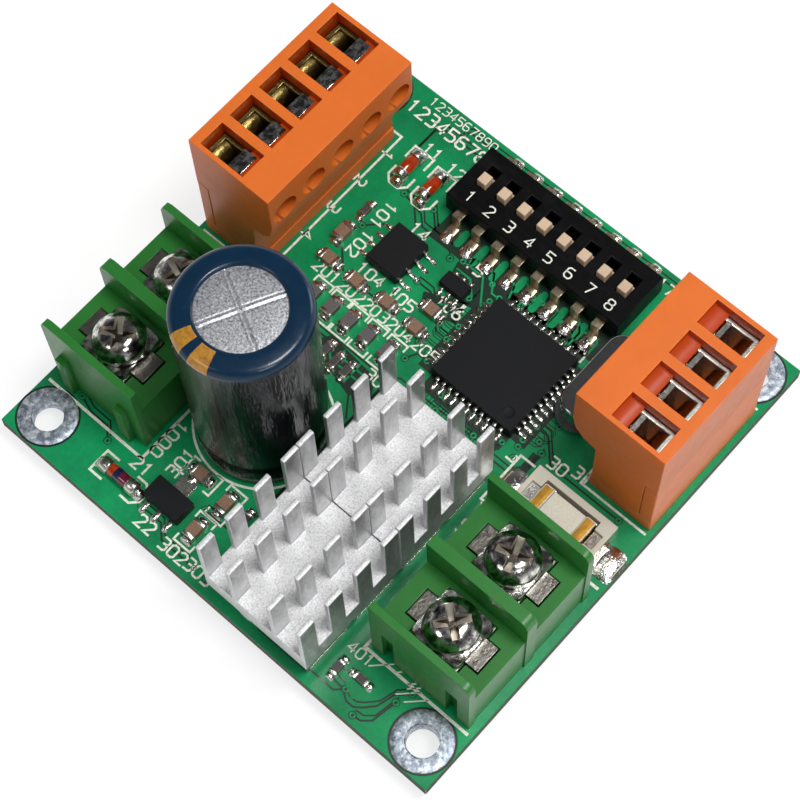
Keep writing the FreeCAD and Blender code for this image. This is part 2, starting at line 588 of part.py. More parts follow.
SINK_WIDE = f"({FINS - 1} * fin_pitch + fin_wide)"
SINK_LOW = "(transistor_high + pad_thick)"
SINK_PLACES = [f"sink_seam_x + {side} * ({SINK_WIDE} + sink_apart) / 2" for side in (-1, 1)]
TRANSISTOR_OFFSETS = [f"{side} * (transistor_wide + transistor_gap) / 2" for side in (-1, 1)]
TRANSISTOR_Y = "(transistor_long - sink_deep) / 2 + transistor_inset"


def heat_sinks():
    outer_row = "(sink_deep - fin_thick) / 2"
    rows = [f"-{outer_row}", "-fin_row", "fin_row", outer_row]
    sinks = []
    for place_x in SINK_PLACES:
        fins = [box("fin_wide", "fin_thick", f"sink_high - {SINK_LOW}",
                    middle_out(index, FINS, "fin_pitch"), y, SINK_LOW)
                for index in range(FINS) for y in rows]
        base = box(SINK_WIDE, "sink_deep", "sink_base", 0, 0, SINK_LOW)
        sinks.append(place(fuse([base] + fins), *from_corner(place_x, "sink_y")))
    keep(group(sinks), "heat_sinks")


def power_stage():
    pads, packages = [], []
    for place_x in SINK_PLACES:
        for offset in TRANSISTOR_OFFSETS:
            x, y = from_corner(f"{place_x} + {offset}", f"sink_y + {TRANSISTOR_Y}")
            packages.append(box("transistor_wide", "transistor_long", "transistor_high - transistor_low",
                                x, y, "board_thick + transistor_low"))
            pads.append(box("transistor_wide", "transistor_long", "pad_thick", x, y,
                            "board_thick + transistor_high"))
    keep(group(pads), "thermal_pads")
    keep(group(packages), "power_transistors")


# Integrated circuits

def package(name, long, wide, high):
    """A moulded package that stands a little off the board."""
    x, y = from_corner(f"{name}_x", f"{name}_y")
    low = "mcu_low" if name == "mcu" else "package_low"
    item = box(long, wide, f"{high} - {low}")
    return place(item, f"{x} - ({long}) / 2", f"{y} - ({wide}) / 2", f"board_thick + {low}")


def microcontroller():
    body = package("mcu", "mcu_side", "mcu_side", "mcu_high")
    x, y = from_corner("mcu_x - mcu_side / 2 + dimple_inset", "mcu_y - mcu_side / 2 + dimple_inset")
    dimple = rod("dimple_radius", "1", x, y, "board_thick + mcu_high - dimple_deep")
    keep(cut(body, [dimple]), "microcontroller")


def small_ics():
    keep(group([package("driver", "driver_long", "driver_wide", "driver_high"),
                package("gate", "gate_wide", "gate_long", "gate_high"),
                package("regulator", "regulator_wide", "regulator_long", "regulator_high")]), "small_ics")


def side_leads(name, half, out, foot, level, turns, row):
    """The same row of leads on each of the turned sides of a package; the leads start at its face."""
    x, y = from_corner(f"{name}_x", f"{name}_y")
    count, pitch, wide = row
    return [place(lead_row(count, pitch, wide, half, f"({half} + {out})", f"({half} + {foot})", level), x, y,
                  turn=turn) for turn in turns]


def ic_leads():
    leads = side_leads("mcu", "mcu_side / 2", "mcu_lead_out", "mcu_foot_out", "mcu_lead_level",
                       (0, 90, 180, 270), (11, "mcu_pitch", "mcu_lead_wide"))
    leads += side_leads("driver", "driver_wide / 2", "driver_lead_out", "driver_foot_out", "chip_lead_level",
                        (90, 270), (4, "driver_pitch", "driver_lead_wide"))
    leads += side_leads("gate", "gate_wide / 2", "gate_lead_out", "gate_foot_out", "chip_lead_level / 2",
                        (0, 180), (3, "gate_pitch", "driver_lead_wide"))
    x, y = from_corner("regulator_x", "regulator_y")
    for index in range(3):
        offset = middle_out(index, 3, "regulator_pitch")
        leads.append(box("1.0", "regulator_lead_wide", "lead_thick"))
        place(leads[-1], f"{x} - regulator_wide / 2 - 1.0", f"{y} + {offset} - regulator_lead_wide / 2")
    leads.append(box("regulator_tab", "regulator_tab", "lead_thick"))
    place(leads[-1], f"{x} + regulator_wide / 2", f"{y} - regulator_tab / 2")
    leads += transistor_leads()
    keep(group(leads), "ic_leads")


def transistor_leads():
    """Under each power transistor a metal tab, with two bent leads from the opposite side."""
    leads = []
    for place_x in SINK_PLACES:
        for offset in TRANSISTOR_OFFSETS:
            x, y = from_corner(f"{place_x} + {offset}", f"sink_y + {TRANSISTOR_Y}")
            tab = box("transistor_wide - 1", "transistor_long / 2", "transistor_low")
            place(tab, f"{x} - (transistor_wide - 1) / 2", f"{y} - transistor_long / 2")
            row = lead_row(2, "transistor_lead_pitch", "transistor_lead_wide", "transistor_long / 2",
                           "(transistor_long / 2 + 0.6)", "(transistor_long / 2 + transistor_lead)",
                           "chip_lead_level")
            leads += [tab, place(row, x, y, turn=90)]
    return leads


def crystal():
    """A stadium-shaped can on a flanged base, with two leads."""
    def stadium(extra, high, z):
        long = f"(crystal_long - crystal_wide)"
        radius = f"(crystal_wide / 2 + {extra})"
        ends = [rod(radius, high, f"{side} * {long} / 2", 0, z) for side in (-1, 1)]
        return [box(long, f"2 * {radius}", high, 0, 0, z)] + ends
    can = fuse(stadium("crystal_flange", "crystal_base", "crystal_low")
               + stadium(0, "crystal_high - crystal_low", "crystal_low"))
    leads = [rod("crystal_lead", "lead_tail + board_thick + crystal_low",
                 f"{side} * crystal_lead_pitch / 2", 0, "-lead_tail - board_thick") for side in (-1, 1)]
    keep(place(group([can] + leads), *from_corner("crystal_x", "crystal_y")), "crystal")


# Fuse and holder

def fuse_and_holder():
    x, y = from_corner(f"motor_terminal_x + {BAYS} * bay_pitch / 2 + fuse_from_terminal", "fuse_y")
    trough = box("fuse_side + 2 * clip_gap + 2 * clip_thick + 2 * fuse_gap", "fuse_long + 2 * fuse_gap",
                 "holder_high", 0, 0, "lead_thick + 0.05")
    ends = [box("fuse_side", "holder_long", "holder_slot", 0, 0, -0.5),
            box("fuse_side - 1", "holder_long - holder_slot", "holder_high", 0, 0,
                "holder_high - holder_slot / 2")]
    shell = cut(box("holder_wide", "holder_long", "holder_high", 0, 0, 0), [trough] + ends)
    clips = []
    for side in (-1, 1):
        cap_y = f"{side} * (fuse_long - fuse_cap) / 2"
        foot_long = "(holder_long / 2 + clip_pad - fuse_long / 2 + fuse_cap)"
        foot = box("fuse_side - 0.4", foot_long, "lead_thick", 0,
                   f"{side} * (fuse_long / 2 - fuse_cap + {foot_long} / 2)", 0)
        seat = box("fuse_side + 2 * clip_gap + 2 * clip_thick", "fuse_cap", "clip_thick", 0, cap_y,
                   "fuse_low - clip_thick - clip_gap")
        post = box("fuse_side - 0.4", "fuse_cap", "fuse_low - clip_gap", 0, cap_y, 0)
        cheeks = [box("clip_thick", "fuse_cap", "fuse_side * 0.8",
                      f"{way} * (fuse_side / 2 + clip_gap + clip_thick / 2)", cap_y,
                      "fuse_low - clip_thick - clip_gap") for way in (-1, 1)]
        clips.append(fuse([foot, seat, post] + cheeks))
    keep(place(group([shell] + clips), x, y), "fuse_holder")
    tube_side = "(fuse_side - 2 * fuse_waist)"
    tube = box(tube_side, "fuse_long - 2 * fuse_cap", tube_side, 0, 0, "fuse_low + fuse_waist")
    caps = [box("fuse_side", "fuse_cap", "fuse_side", 0, f"{side} * (fuse_long - fuse_cap) / 2", "fuse_low")
            for side in (-1, 1)]
    keep(place(group([tube] + caps), x, y), "fuse")


# Small parts

def glass_diodes():
    diodes = []
    for name, x, y, axis in GLASS_DIODES:
        length = "rear_diode_long" if name == "rear_diode" else "diode_long"
        diode = rod("diode_radius", length)
        shift_x = f"{x} - {length} / 2" if axis == "x" else x
        shift_y = f"{y} - {length} / 2" if axis == "y" else y
        place(diode, *from_corner(shift_x, shift_y), "board_thick + diode_radius",
              turn=-90 if axis == "x" else 0, tilt=-90)
        diodes.append(diode)
    keep(group(diodes), "glass_diodes")


def chip_components():
    chips = []
    for size, x, y, axis in CHIPS:
        long, wide = (f"{size}_long", f"{size}_wide") if axis == "x" else (f"{size}_wide", f"{size}_long")
        chip = box(long, wide, f"{size}_high")
        chips.append(place(chip, *from_corner(f"{x} - {long} / 2", f"{y} - {wide} / 2")))
    keep(group(chips), "chip_components")


def build():
    write_cells(SIZES)
    circuit_board()
    plug_headers()
    header_pins()
    for name, (ways, _) in PLUGS.items():
        plug_housing(name, ways)
        plug_contacts(name, ways)
        for index in range(ways):
            clamp_cage(name, ways, index)
            clamp_screw(name, ways, index)
    for name in TERMINALS:
        terminal_housing(name)
        for index in range(BAYS):
            terminal_washer(name, index)
            terminal_screw(name, index)
    terminal_contacts()
    dip_switch_housing()
    dip_switch_contacts()
    for index in range(DIP_WAYS):
        dip_slider(index)
    capacitor()
    heat_sinks()
    power_stage()
    microcontroller()
    small_ics()
    ic_leads()
    crystal()
    fuse_and_holder()
    glass_diodes()
    chip_components()
    doc.recompute()


def check():
    for item in doc.Objects:
        if "Invalid" in item.State or "Error" in item.State:
            raise RuntimeError(f"{item.Name} failed: {item.State}")
    for item in cuts:
        if item.Shape.Volume >= item.Base.Shape.Volume:
            raise RuntimeError(f"{item.Label} took nothing away")
    for item in parts:
        if item.Shape.isNull() or not item.Shape.isValid() or not item.Shape.Solids:
            raise RuntimeError(f"{item.Label} has no valid solid")


def write():
    os.makedirs("parts", exist_ok=True)
    for item in parts:
        item.Shape.exportStep(f"parts/{item.Label}.step")


build()
check()
write()
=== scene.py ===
"""Looks of a motor driver module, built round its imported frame. Blender 4.5."""

import json
import math
import random

import bmesh
import bpy
from bpy.props import FloatProperty, FloatVectorProperty, PointerProperty
from mathutils import Matrix, Vector


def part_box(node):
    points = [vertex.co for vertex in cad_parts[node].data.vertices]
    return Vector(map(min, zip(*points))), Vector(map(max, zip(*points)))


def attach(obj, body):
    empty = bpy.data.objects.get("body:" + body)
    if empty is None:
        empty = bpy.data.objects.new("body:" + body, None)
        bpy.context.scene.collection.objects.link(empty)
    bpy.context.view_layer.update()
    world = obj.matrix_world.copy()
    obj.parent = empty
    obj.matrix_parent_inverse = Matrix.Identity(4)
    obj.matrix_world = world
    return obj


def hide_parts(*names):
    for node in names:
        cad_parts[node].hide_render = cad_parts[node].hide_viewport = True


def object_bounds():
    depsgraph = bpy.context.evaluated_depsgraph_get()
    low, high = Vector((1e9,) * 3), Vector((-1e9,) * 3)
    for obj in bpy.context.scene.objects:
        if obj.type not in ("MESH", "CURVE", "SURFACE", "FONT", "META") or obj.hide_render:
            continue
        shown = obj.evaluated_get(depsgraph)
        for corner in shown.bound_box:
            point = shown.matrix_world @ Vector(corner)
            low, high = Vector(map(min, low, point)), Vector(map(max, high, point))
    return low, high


bl_info = {
    "name": "Driver Module",
    "version": (1, 0, 0),
    "blender": (4, 5, 0),
    "location": "3D View > Sidebar > Driver Module",
    "description": "Builds a motor driver module piece by piece round its packed frame",
    "category": "Object",
}

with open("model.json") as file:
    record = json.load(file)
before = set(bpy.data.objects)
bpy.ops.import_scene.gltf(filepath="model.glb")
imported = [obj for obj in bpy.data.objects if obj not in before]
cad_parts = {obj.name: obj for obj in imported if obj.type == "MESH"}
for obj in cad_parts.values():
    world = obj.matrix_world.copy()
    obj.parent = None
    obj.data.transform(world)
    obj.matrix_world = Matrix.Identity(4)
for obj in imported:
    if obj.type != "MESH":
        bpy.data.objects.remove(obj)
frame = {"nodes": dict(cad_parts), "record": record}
CAD_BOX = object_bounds()
MM = 0.001


def colour(code):
    """A linear colour from a six-figure code."""
    parts = [int(code[index:index + 2], 16) / 255 for index in (0, 2, 4)]
    linear = [part / 12.92 if part <= 0.04045 else ((part + 0.055) / 1.055) ** 2.4 for part in parts]
    return (*linear, 1.0)


def shade(tone, share):
    """A darker or paler share of a colour."""
    return (*(min(1.0, share * part) for part in tone[:3]), 1.0)


# Where things are: boxes and solids of the frame's nodes, in millimetres.

def node_box(node):
    low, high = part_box(node)
    return Vector(low) / MM, Vector(high) / MM


def node_form(node):
    """A mesh in the making that starts as a copy of a node, with its flat regions joined."""
    form = Form()
    form.bm.from_mesh(frame["nodes"][node].data)
    bmesh.ops.scale(form.bm, vec=(1 / MM, 1 / MM, 1 / MM), verts=form.bm.verts)
    bmesh.ops.remove_doubles(form.bm, verts=form.bm.verts, dist=0.0005)
    bmesh.ops.dissolve_limit(form.bm, angle_limit=math.radians(1), verts=form.bm.verts, edges=form.bm.edges)
    return form


def node_solids(node):
    """The boxes (low, high) of a node's separate solids, in the order of the mesh."""
    bm = bmesh.new()
    bm.from_mesh(frame["nodes"][node].data)
    bmesh.ops.remove_doubles(bm, verts=bm.verts, dist=1e-7)
    left = set(bm.verts)
    boxes = []
    for first in bm.verts:
        if first not in left:
            continue
        left.discard(first)
        group = [first]
        for vertex in group:
            for edge in vertex.link_edges:
                other = edge.other_vert(vertex)
                if other in left:
                    left.discard(other)
                    group.append(other)
        points = [vertex.co / MM for vertex in group]
        low = Vector([min(point[axis] for point in points) for axis in range(3)])
        high = Vector([max(point[axis] for point in points) for axis in range(3)])
        boxes.append((low, high))
    bm.free()
    return boxes


BOARD_LOW, BOARD_HIGH = node_box("circuit_board")
TOP = BOARD_HIGH.z
UNDER = BOARD_LOW.z
SUNK = 0.01
HEAP_FOOT = TOP - 0.005
SINK_FLOOR = TOP + 5.45
BEAD_COLUMN = (BOARD_LOW.x + 28.5, BOARD_LOW.x + 31.0)

# The shoulder of the capacitor's sleeve: its radius, and how far below the top it starts.
SHOULDER, SHOULDER_DROP = 0.95, 1.05

# The dome of a pan head: the flat and the curved share of its radius, its height and its fullness.
DOME_FLAT, DOME_WIDE, DOME_HIGH, DOME_POWER = 0.32, 0.68, 1.45, 1.15
RIM_HIGH = 0.75
HEAD_HIGH = 2.2


def spot(x, y):
    """A place on the board from its near left corner."""
    return Vector((BOARD_LOW.x + x, BOARD_LOW.y + y))


def middle(low, high):
    return (low + high) / 2


def heading(angle):
    """The level direction at an angle from +X."""
    return Vector((math.cos(angle), math.sin(angle)))


def side_of(way):
    """A level direction turned a quarter to the left."""
    return Vector((-way.y, way.x))


def long_way(size):
    """The direction of a box's longer side."""
    return Vector((1, 0)) if size.x > size.y else Vector((0, 1))


# Shaders

class Tone:
    """A socket of a material; arithmetic on it adds Math nodes."""

    def __init__(self, tree, socket):
        self.tree = tree
        self.socket = socket

    def math(self, operation, *values):
        node = self.tree.nodes.new("ShaderNodeMath")
        node.operation = operation
        for place, value in zip(node.inputs, values):
            if isinstance(value, Tone):
                self.tree.links.new(value.socket, place)
            else:
                place.default_value = value
        return Tone(self.tree, node.outputs[0])

    def __add__(self, other):
        return self.math("ADD", self, other)

    __radd__ = __add__

    def __sub__(self, other):
        return self.math("SUBTRACT", self, other)

    def __rsub__(self, other):
        return self.math("SUBTRACT", other, self)

    def __mul__(self, other):
        return self.math("MULTIPLY", self, other)

    __rmul__ = __mul__

    def least(self, other):
        return self.math("MINIMUM", self, other)

    def most(self, other):
        return self.math("MAXIMUM", self, other)

    def clipped(self):
        return self.least(1.0).most(0.0)

    def wave(self):
        return self.math("SINE", self)


class Shading:
    """The nodes of one material or world."""

    def __init__(self, tree):
        self.tree = tree

    def node(self, kind, settings=None, sockets=None, out=0):
        """Adds a node: its settings first, then the values or links of its sockets."""
        node = self.tree.nodes.new(kind)
        for name, value in (settings or {}).items():
            if name == "stops":
                self.set_stops(node.color_ramp, value)
            else:
                setattr(node, name, value)
        for name, value in (sockets or {}).items():
            self.put(node.inputs[name], value)
        return Tone(self.tree, node.outputs[out])

    def set_stops(self, ramp, stops):
        for index, (place, value) in enumerate(stops):
            stop = ramp.elements[index] if index < 2 else ramp.elements.new(place)
            stop.position = place
            stop.color = value if len(value) == 4 else (*value, 1.0)

    def put(self, socket, value):
        if isinstance(value, Tone):
            self.tree.links.new(value.socket, socket)
        else:
            socket.default_value = value

    def coordinates(self, stretch=(1, 1, 1)):
        """Places on the object in millimetres, stretched along each axis."""
        place = self.node("ShaderNodeTexCoord", out="Object")
        scale = tuple(1 / MM / part for part in stretch)
        return self.node("ShaderNodeVectorMath", {"operation": "MULTIPLY"}, {0: place, 1: scale})

    def noise(self, size, detail=3.0, roughness=0.55, stretch=(1, 1, 1)):
        """Soft noise with features of a size in millimetres."""
        return self.node("ShaderNodeTexNoise", {}, {
            "Vector": self.coordinates(stretch), "Scale": 1 / size, "Detail": detail,
            "Roughness": roughness})

    def cells(self, size):
        """Distances from the middles of cells of a size in millimetres."""
        return self.node("ShaderNodeTexVoronoi", {"feature": "F1"}, {
            "Vector": self.coordinates(), "Scale": 1 / size}, "Distance")

    def axis(self, letter):
        return self.node("ShaderNodeSeparateXYZ", {}, {0: self.coordinates()}, "XYZ".index(letter))

    def ramp(self, value, *stops):
        return self.node("ShaderNodeValToRGB", {"stops": stops}, {"Fac": value})

    def mix(self, factor, first, second, kind="MIX"):
        return self.node("ShaderNodeMix", {"data_type": "RGBA", "blend_type": kind},
                         {0: factor, 6: first, 7: second}, 2)

    def seen_by(self, ray):
        """One for the rays of a kind, and nought for the others."""
        return self.node("ShaderNodeLightPath", out=f"Is {ray} Ray")


class Finish(Shading):
    """One material on the Principled shader."""

    def __init__(self, name, base, roughness, metallic=0.0, **fixed):
        self.material = bpy.data.materials.new(name)
        self.material.use_nodes = True
        super().__init__(self.material.node_tree)
        self.shader = self.tree.nodes["Principled BSDF"]
        self.set("Base Color", base)
        self.set("Roughness", roughness)
        self.set("Metallic", metallic)
        for socket, value in fixed.items():
            self.set(socket.replace("_", " ").title().replace("Ior", "IOR"), value)

    def set(self, socket, value):
        self.put(self.shader.inputs[socket], value)

    def relief(self, height, depth, strength):
        """Bumps the surface by heights of 0 to 1 over a depth in millimetres, and gives the material."""
        self.set("Normal", self.node("ShaderNodeBump", {}, {
            "Height": height, "Distance": depth * MM, "Strength": strength}))
        return self.material


# Meshes

class Form:
    """A mesh in the making, in millimetres of the frame."""

    def __init__(self):
        self.bm = bmesh.new()

    def loft(self, loops, skin=0, closed=True, caps=True, endless=False):
        """Skins a row of point loops of equal length; an endless row joins its last loop to its first."""
        rows = [[self.bm.verts.new(point) for point in loop] for loop in loops]
        count = len(rows[0])
        for first, second in zip(rows, rows[1:] + (rows[:1] if endless else [])):
            for index in range(count if closed else count - 1):
                following = (index + 1) % count
                corners = (first[index], first[following], second[following], second[index])
                self.bm.faces.new(corners).material_index = skin
        if caps and not endless:
            for row in (rows[0][::-1], rows[-1]):
                self.bm.faces.new(row).material_index = skin

    def prism(self, outline, low, high, skin=0):
        self.loft([[(x, y, z) for x, y in outline] for z in (low, high)], skin)

    def box(self, low, high, skin=0):
        outline = [(low[0], low[1]), (high[0], low[1]), (high[0], high[1]), (low[0], high[1])]
        self.prism(outline, low[2], high[2], skin)

    def lathe(self, profile, centre, steps=48, skin=0, axis="z"):
        """Turns a profile of (radius, height) about an upright or a lying axis through the centre."""
        loops = []
        for radius, height in profile:
            loop = []
            for step in range(steps):
                angle = math.tau * step / steps
                across = (radius * math.cos(angle), radius * math.sin(angle), height)
                if axis == "x":
                    across = (across[2], across[0], across[1])
                if axis == "y":
                    across = (across[1], across[2], across[0])
                loop.append(Vector(across) + Vector(centre))
            loops.append(loop)
        self.loft(loops, skin)

    def ring(self, centre, inner, outer, low, high, steps=48, skin=0):
        """A flat ring, closed all round."""
        self.torus_like([(inner, low), (inner, high), (outer, high), (outer, low)], centre, steps, skin)

    def torus_like(self, section, centre, steps=48, skin=0):
        """Turns a closed section of (radius, height) about an upright axis."""
        loops = []
        for step in range(steps):
            angle = math.tau * step / steps
            along, across = math.cos(angle), math.sin(angle)
            loops.append([(centre[0] + radius * along, centre[1] + radius * across, height)
                          for radius, height in section])
        self.loft(loops, skin, endless=True)

    def ribbon(self, points, width, low, high, skin=0, closed=False):
        """A flat strip of even width along points on a level, with mitred corners."""
        flat = [Vector(point) for point in points]
        if closed:
            flat = [flat[-1]] + flat + [flat[0], flat[1]]
        sides = []
        for index, point in enumerate(flat):
            before = flat[index - 1] if index else None
            after = flat[index + 1] if index + 1 < len(flat) else None
            along_in = (point - before).normalized() if before else (after - point).normalized()
            along_out = (after - point).normalized() if after else along_in
            along = (along_in + along_out).normalized()
            across = side_of(along)
            stretch = 1 / max(0.5, across.dot(side_of(along_in)))
            sides.append((point + across * width / 2 * stretch, point - across * width / 2 * stretch))
        if closed:
            sides = sides[1:-1]
        loops = [[(*left, low), (*left, high), (*right, high), (*right, low)] for left, right in sides]
        self.loft(loops, skin, caps=not closed)

    def mound(self, low, high, base, top, skin=0, steps=6, power=2.4):
        """A domed heap over a rectangle, as solder draws itself up."""
        rows = []
        for column in range(steps + 1):
            row = []
            u = -1 + 2 * column / steps
            for line in range(steps + 1):
                v = -1 + 2 * line / steps
                fall = max(0.0, 1 - abs(u) ** power) * max(0.0, 1 - abs(v) ** power)
                x = (low[0] + high[0]) / 2 + u * (high[0] - low[0]) / 2 * (1 - 0.12 * v * v)
                y = (low[1] + high[1]) / 2 + v * (high[1] - low[1]) / 2 * (1 - 0.12 * u * u)
                row.append(self.bm.verts.new((x, y, base + (top - base) * fall ** 0.6)))
            rows.append(row)
        for column in range(steps):
            for line in range(steps):
                corners = (rows[column][line], rows[column + 1][line], rows[column + 1][line + 1],
                           rows[column][line + 1])
                self.bm.faces.new(corners).material_index = skin

    def paint(self, test, skin):
        """Gives another finish to the faces that pass a test of centre and normal."""
        self.bm.normal_update()
        for face in self.bm.faces:
            if test(face.calc_center_median(), face.normal):
                face.material_index = skin

    def round_edges(self, width, segments=2, angle=35, test=None):
        """Rounds the edges that are sharper than an angle, or those of them that pass a test."""
        self.bm.normal_update()
        limit = math.radians(angle)
        edges = []
        for edge in self.bm.edges:
            if edge.calc_face_angle(0) < limit:
                continue
            if test and not test((edge.verts[0].co + edge.verts[1].co) / 2):
                continue
            edges.append(edge)
        bmesh.ops.bevel(self.bm, geom=edges, offset=width, segments=segments, profile=0.5,
                        affect="EDGES", clamp_overlap=True, offset_type="OFFSET")

    def jitter(self, amount, seed, test=None):
        """Moves points a little at random, so that like shapes aren't all the same."""
        chance = random.Random(seed)
        for vertex in self.bm.verts:
            if test is None or test(vertex.co):
                vertex.co += Vector([chance.uniform(-amount, amount) for _ in range(3)])

    def thing(self, name, outward=True):
        """Turns the form into an object in metres, with its faces turned outward."""
        if outward:
            bmesh.ops.recalc_face_normals(self.bm, faces=self.bm.faces)
        bmesh.ops.scale(self.bm, vec=(MM, MM, MM), verts=self.bm.verts)
        mesh = bpy.data.meshes.new(name)
        self.bm.to_mesh(mesh)
        self.bm.free()
        item = bpy.data.objects.new(name, mesh)
        bpy.context.collection.objects.link(item)
        return item

    def piece(self, name, body, finishes, stands_for=(), slot=None, sharp=40, even=True):
        """Turns the form into a piece that rides on a body."""
        item = self.thing(name)
        mesh = item.data
        for finish in finishes:
            mesh.materials.append(finish)
        mesh.polygons.foreach_set("use_smooth", [True] * len(mesh.polygons))
        mesh.set_sharp_from_angle(angle=math.radians(sharp))
        if even:
            modifier = item.modifiers.new("even_shading", "WEIGHTED_NORMAL")
            modifier.keep_sharp = True
        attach(item, body)
        if stands_for:
            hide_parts(*stands_for)
        return item


def body_for(node):
    """The body that a node rides on."""
    for body, entry in BODY_NODES.items():
        if node in entry:
            return body
    raise RuntimeError(f"{node} rides on nothing")


BODY_NODES = frame["record"]["behaviour"]["bodies"]


def soften(node, name, finishes, width, segments=2, angle=35, test=None, paint=None, sharp=40):
    """A piece that stands for a node: the same shape with its edges rounded."""
    form = node_form(node)
    for choose, skin in paint or ():
        form.paint(choose, skin)
    if width:
        form.round_edges(width, segments, angle, test)
    return form.piece(name, body_for(node), finishes, (node,), None, sharp)


# Colours and sizes that a user would change

def tint(name, text, code):
    return FloatVectorProperty(name=name, description=text, default=colour(code), size=4, min=0.0, max=1.0,
                               subtype="COLOR")


def length(name, text, value):
    return FloatProperty(name=name, description=text, default=value * MM, min=0.0, soft_max=0.01,
                         precision=5, unit="LENGTH")


class ModuleColours(bpy.types.PropertyGroup):
    mask: tint("Solder mask", "Green lacquer over the copper", "00864F")
    mask_gap: tint("Mask over bare board", "Lacquer where there is no copper under it", "012A17")
    laminate: tint("Board edge", "Sawn edge of the glass-fibre board", "39371E")
    silk: tint("Silk ink", "Printed outlines and numbers", "E2E2D6")
    plug: tint("Plug plastic", "Pluggable terminals and their headers", "D4691F")
    barrier: tint("Terminal plastic", "Barrier terminals", "26722A")
    sleeve_top: tint("Sleeve top", "Shrunk film over the capacitor's shoulder", "082840")
    sleeve_side: tint("Sleeve side", "Shrunk film down the capacitor's side", "05070B")
    band: tint("Polarity band", "Marks printed on the capacitor's sleeve", "A8741C")
    sink: tint("Heat sink", "Bright aluminium", "EDEDEE")
    switch: tint("Switch body", "Moulded switch housing", "060607")
    slider: tint("Sliders", "Switch sliders", "C7AE93")
    package: tint("Packages", "Moulded chip packages", "131416")
    holder: tint("Fuse holder", "Moulded fuse holder", "C4BFB0")
    diode: tint("Diode glass", "Stained glass of the front diodes", "C2400E")


class ModuleSizes(bpy.types.PropertyGroup):
    silk_wide: length("Silk line", "Width of the printed lines", 0.24)
    silk_thick: length("Ink", "Thickness of the printed lines", 0.03)
    gap_wide: length("Copper gap", "Width of the gap beside a track", 0.2)
    ring_wide: length("Hole ring", "Width of the tinned rings round the mounting holes", 1.4)
    via: length("Via", "Outer radius of a via", 0.34)
    solder_out: length("Solder margin", "How far solder runs out past a lead", 0.35)
    plastic_round: length("Plastic edge", "Rounding of the moulded edges", 0.14)
    metal_round: length("Metal edge", "Rounding of the pressed metal edges", 0.07)
    vent_deep: length("Vent depth", "Depth of the capacitor's pressed vent", 0.16)
    camera_away: length("Camera distance", "From the middle of the module", 207.6)


def settings():
    return bpy.context.scene.module_colours, bpy.context.scene.module_sizes


# Finishes

def mask_finish(colours):
    """Glossy lacquer whose depth of colour wanders with the copper under it."""
    finish = Finish("solder_mask", colours.mask, 0.32, Coat_Weight=0.05, Coat_Roughness=0.15,
                    Specular_IOR_Level=0.3)
    cloud = finish.ramp(finish.noise(9.0, 2.0), (0.32, (0.72, 0.72, 0.72)), (0.7, (1.22, 1.22, 1.22)))
    weave = finish.ramp(finish.noise(0.45, 2.0), (0.3, (0.88, 0.88, 0.88)), (0.75, (1.08, 1.08, 1.08)))
    tone = finish.mix(1.0, colours.mask, cloud, "MULTIPLY")
    finish.set("Base Color", finish.mix(1.0, tone, weave, "MULTIPLY"))
    finish.set("Roughness", 0.24 + 0.2 * finish.noise(1.6))
    return finish.relief(finish.noise(0.8, 4.0), 0.02, 0.5)


def gap_finish(colours):
    finish = Finish("mask_over_bare_board", colours.mask_gap, 0.35, Coat_Weight=0.25)
    deep = shade(colours.mask_gap, 0.55)
    finish.set("Base Color", finish.mix(finish.noise(0.7), colours.mask_gap, deep))
    finish.set("Roughness", 0.3 + 0.25 * finish.noise(0.5))
    return finish.material


def laminate_finish(colours):
    """Sawn glass fibre: thin layers seen end on, with pale frayed specks."""
    finish = Finish("sawn_laminate", colours.laminate, 0.75)
    layers = (finish.axis("Z") * 16.0 + finish.noise(0.5) * 1.5).wave() * 0.5 + 0.5
    speck = (finish.noise(0.12, 2.0, 0.7) - 0.55).clipped() * 5.0
    dark = shade(colours.laminate, 0.45)
    tone = finish.mix(layers, colours.laminate, dark)
    finish.set("Base Color", finish.mix(speck.clipped() * 0.5, tone, colour("9A9468")))
    return finish.relief(layers + finish.noise(0.15), 0.03, 0.6)


def silk_finish(colours):
    """Ink that thins here and there."""
    finish = Finish("silk_ink", colours.silk, 0.6)
    worn = finish.ramp(finish.noise(0.22, 3.0, 0.7), (0.3, (0.52, 0.58, 0.5)), (0.55, (1.0, 1.0, 1.0)))
    finish.set("Base Color", finish.mix(1.0, colours.silk, worn, "MULTIPLY"))
    return finish.relief(finish.noise(0.12), 0.01, 0.5)


def metal_finish(name, code, roughness, grain, depth, patchy=0.25, stretch=(1, 1, 1)):
    """Bright metal with a fine grain and patches that are duller."""
    base = colour(code)
    finish = Finish(name, base, roughness, 1.0)
    patch = finish.noise(grain * 7, 3.0, 0.6)
    dull = shade(base, 0.6)
    finish.set("Base Color", finish.mix(patch * patchy * 1.6, base, dull))
    finish.set("Roughness", roughness * 0.6 + roughness * 0.9 * finish.noise(grain * 2, 2.0))
    return finish.relief(finish.noise(grain, 3.0, 0.6, stretch), depth, 0.7)


def chrome_finish(name, size):
    """Bright plating with painted reflections: its base colour breaks up into dark and pale patches."""
    finish = Finish(name, colour("B5AFA6"), 0.14, 1.0)
    patch = finish.noise(size, 2.0, 0.6)
    # Painted reflections: the patches run the base colour from dark to pale.
    finish.set("Base Color", finish.ramp(patch, (0.4, (0.16, 0.155, 0.15)), (0.5, (0.46, 0.44, 0.42)),
                                         (0.6, (0.84, 0.82, 0.79))))
    finish.set("Roughness", 0.1 + 0.14 * finish.noise(0.5))
    return finish.relief(finish.noise(0.9, 2.0), 0.06, 0.6)


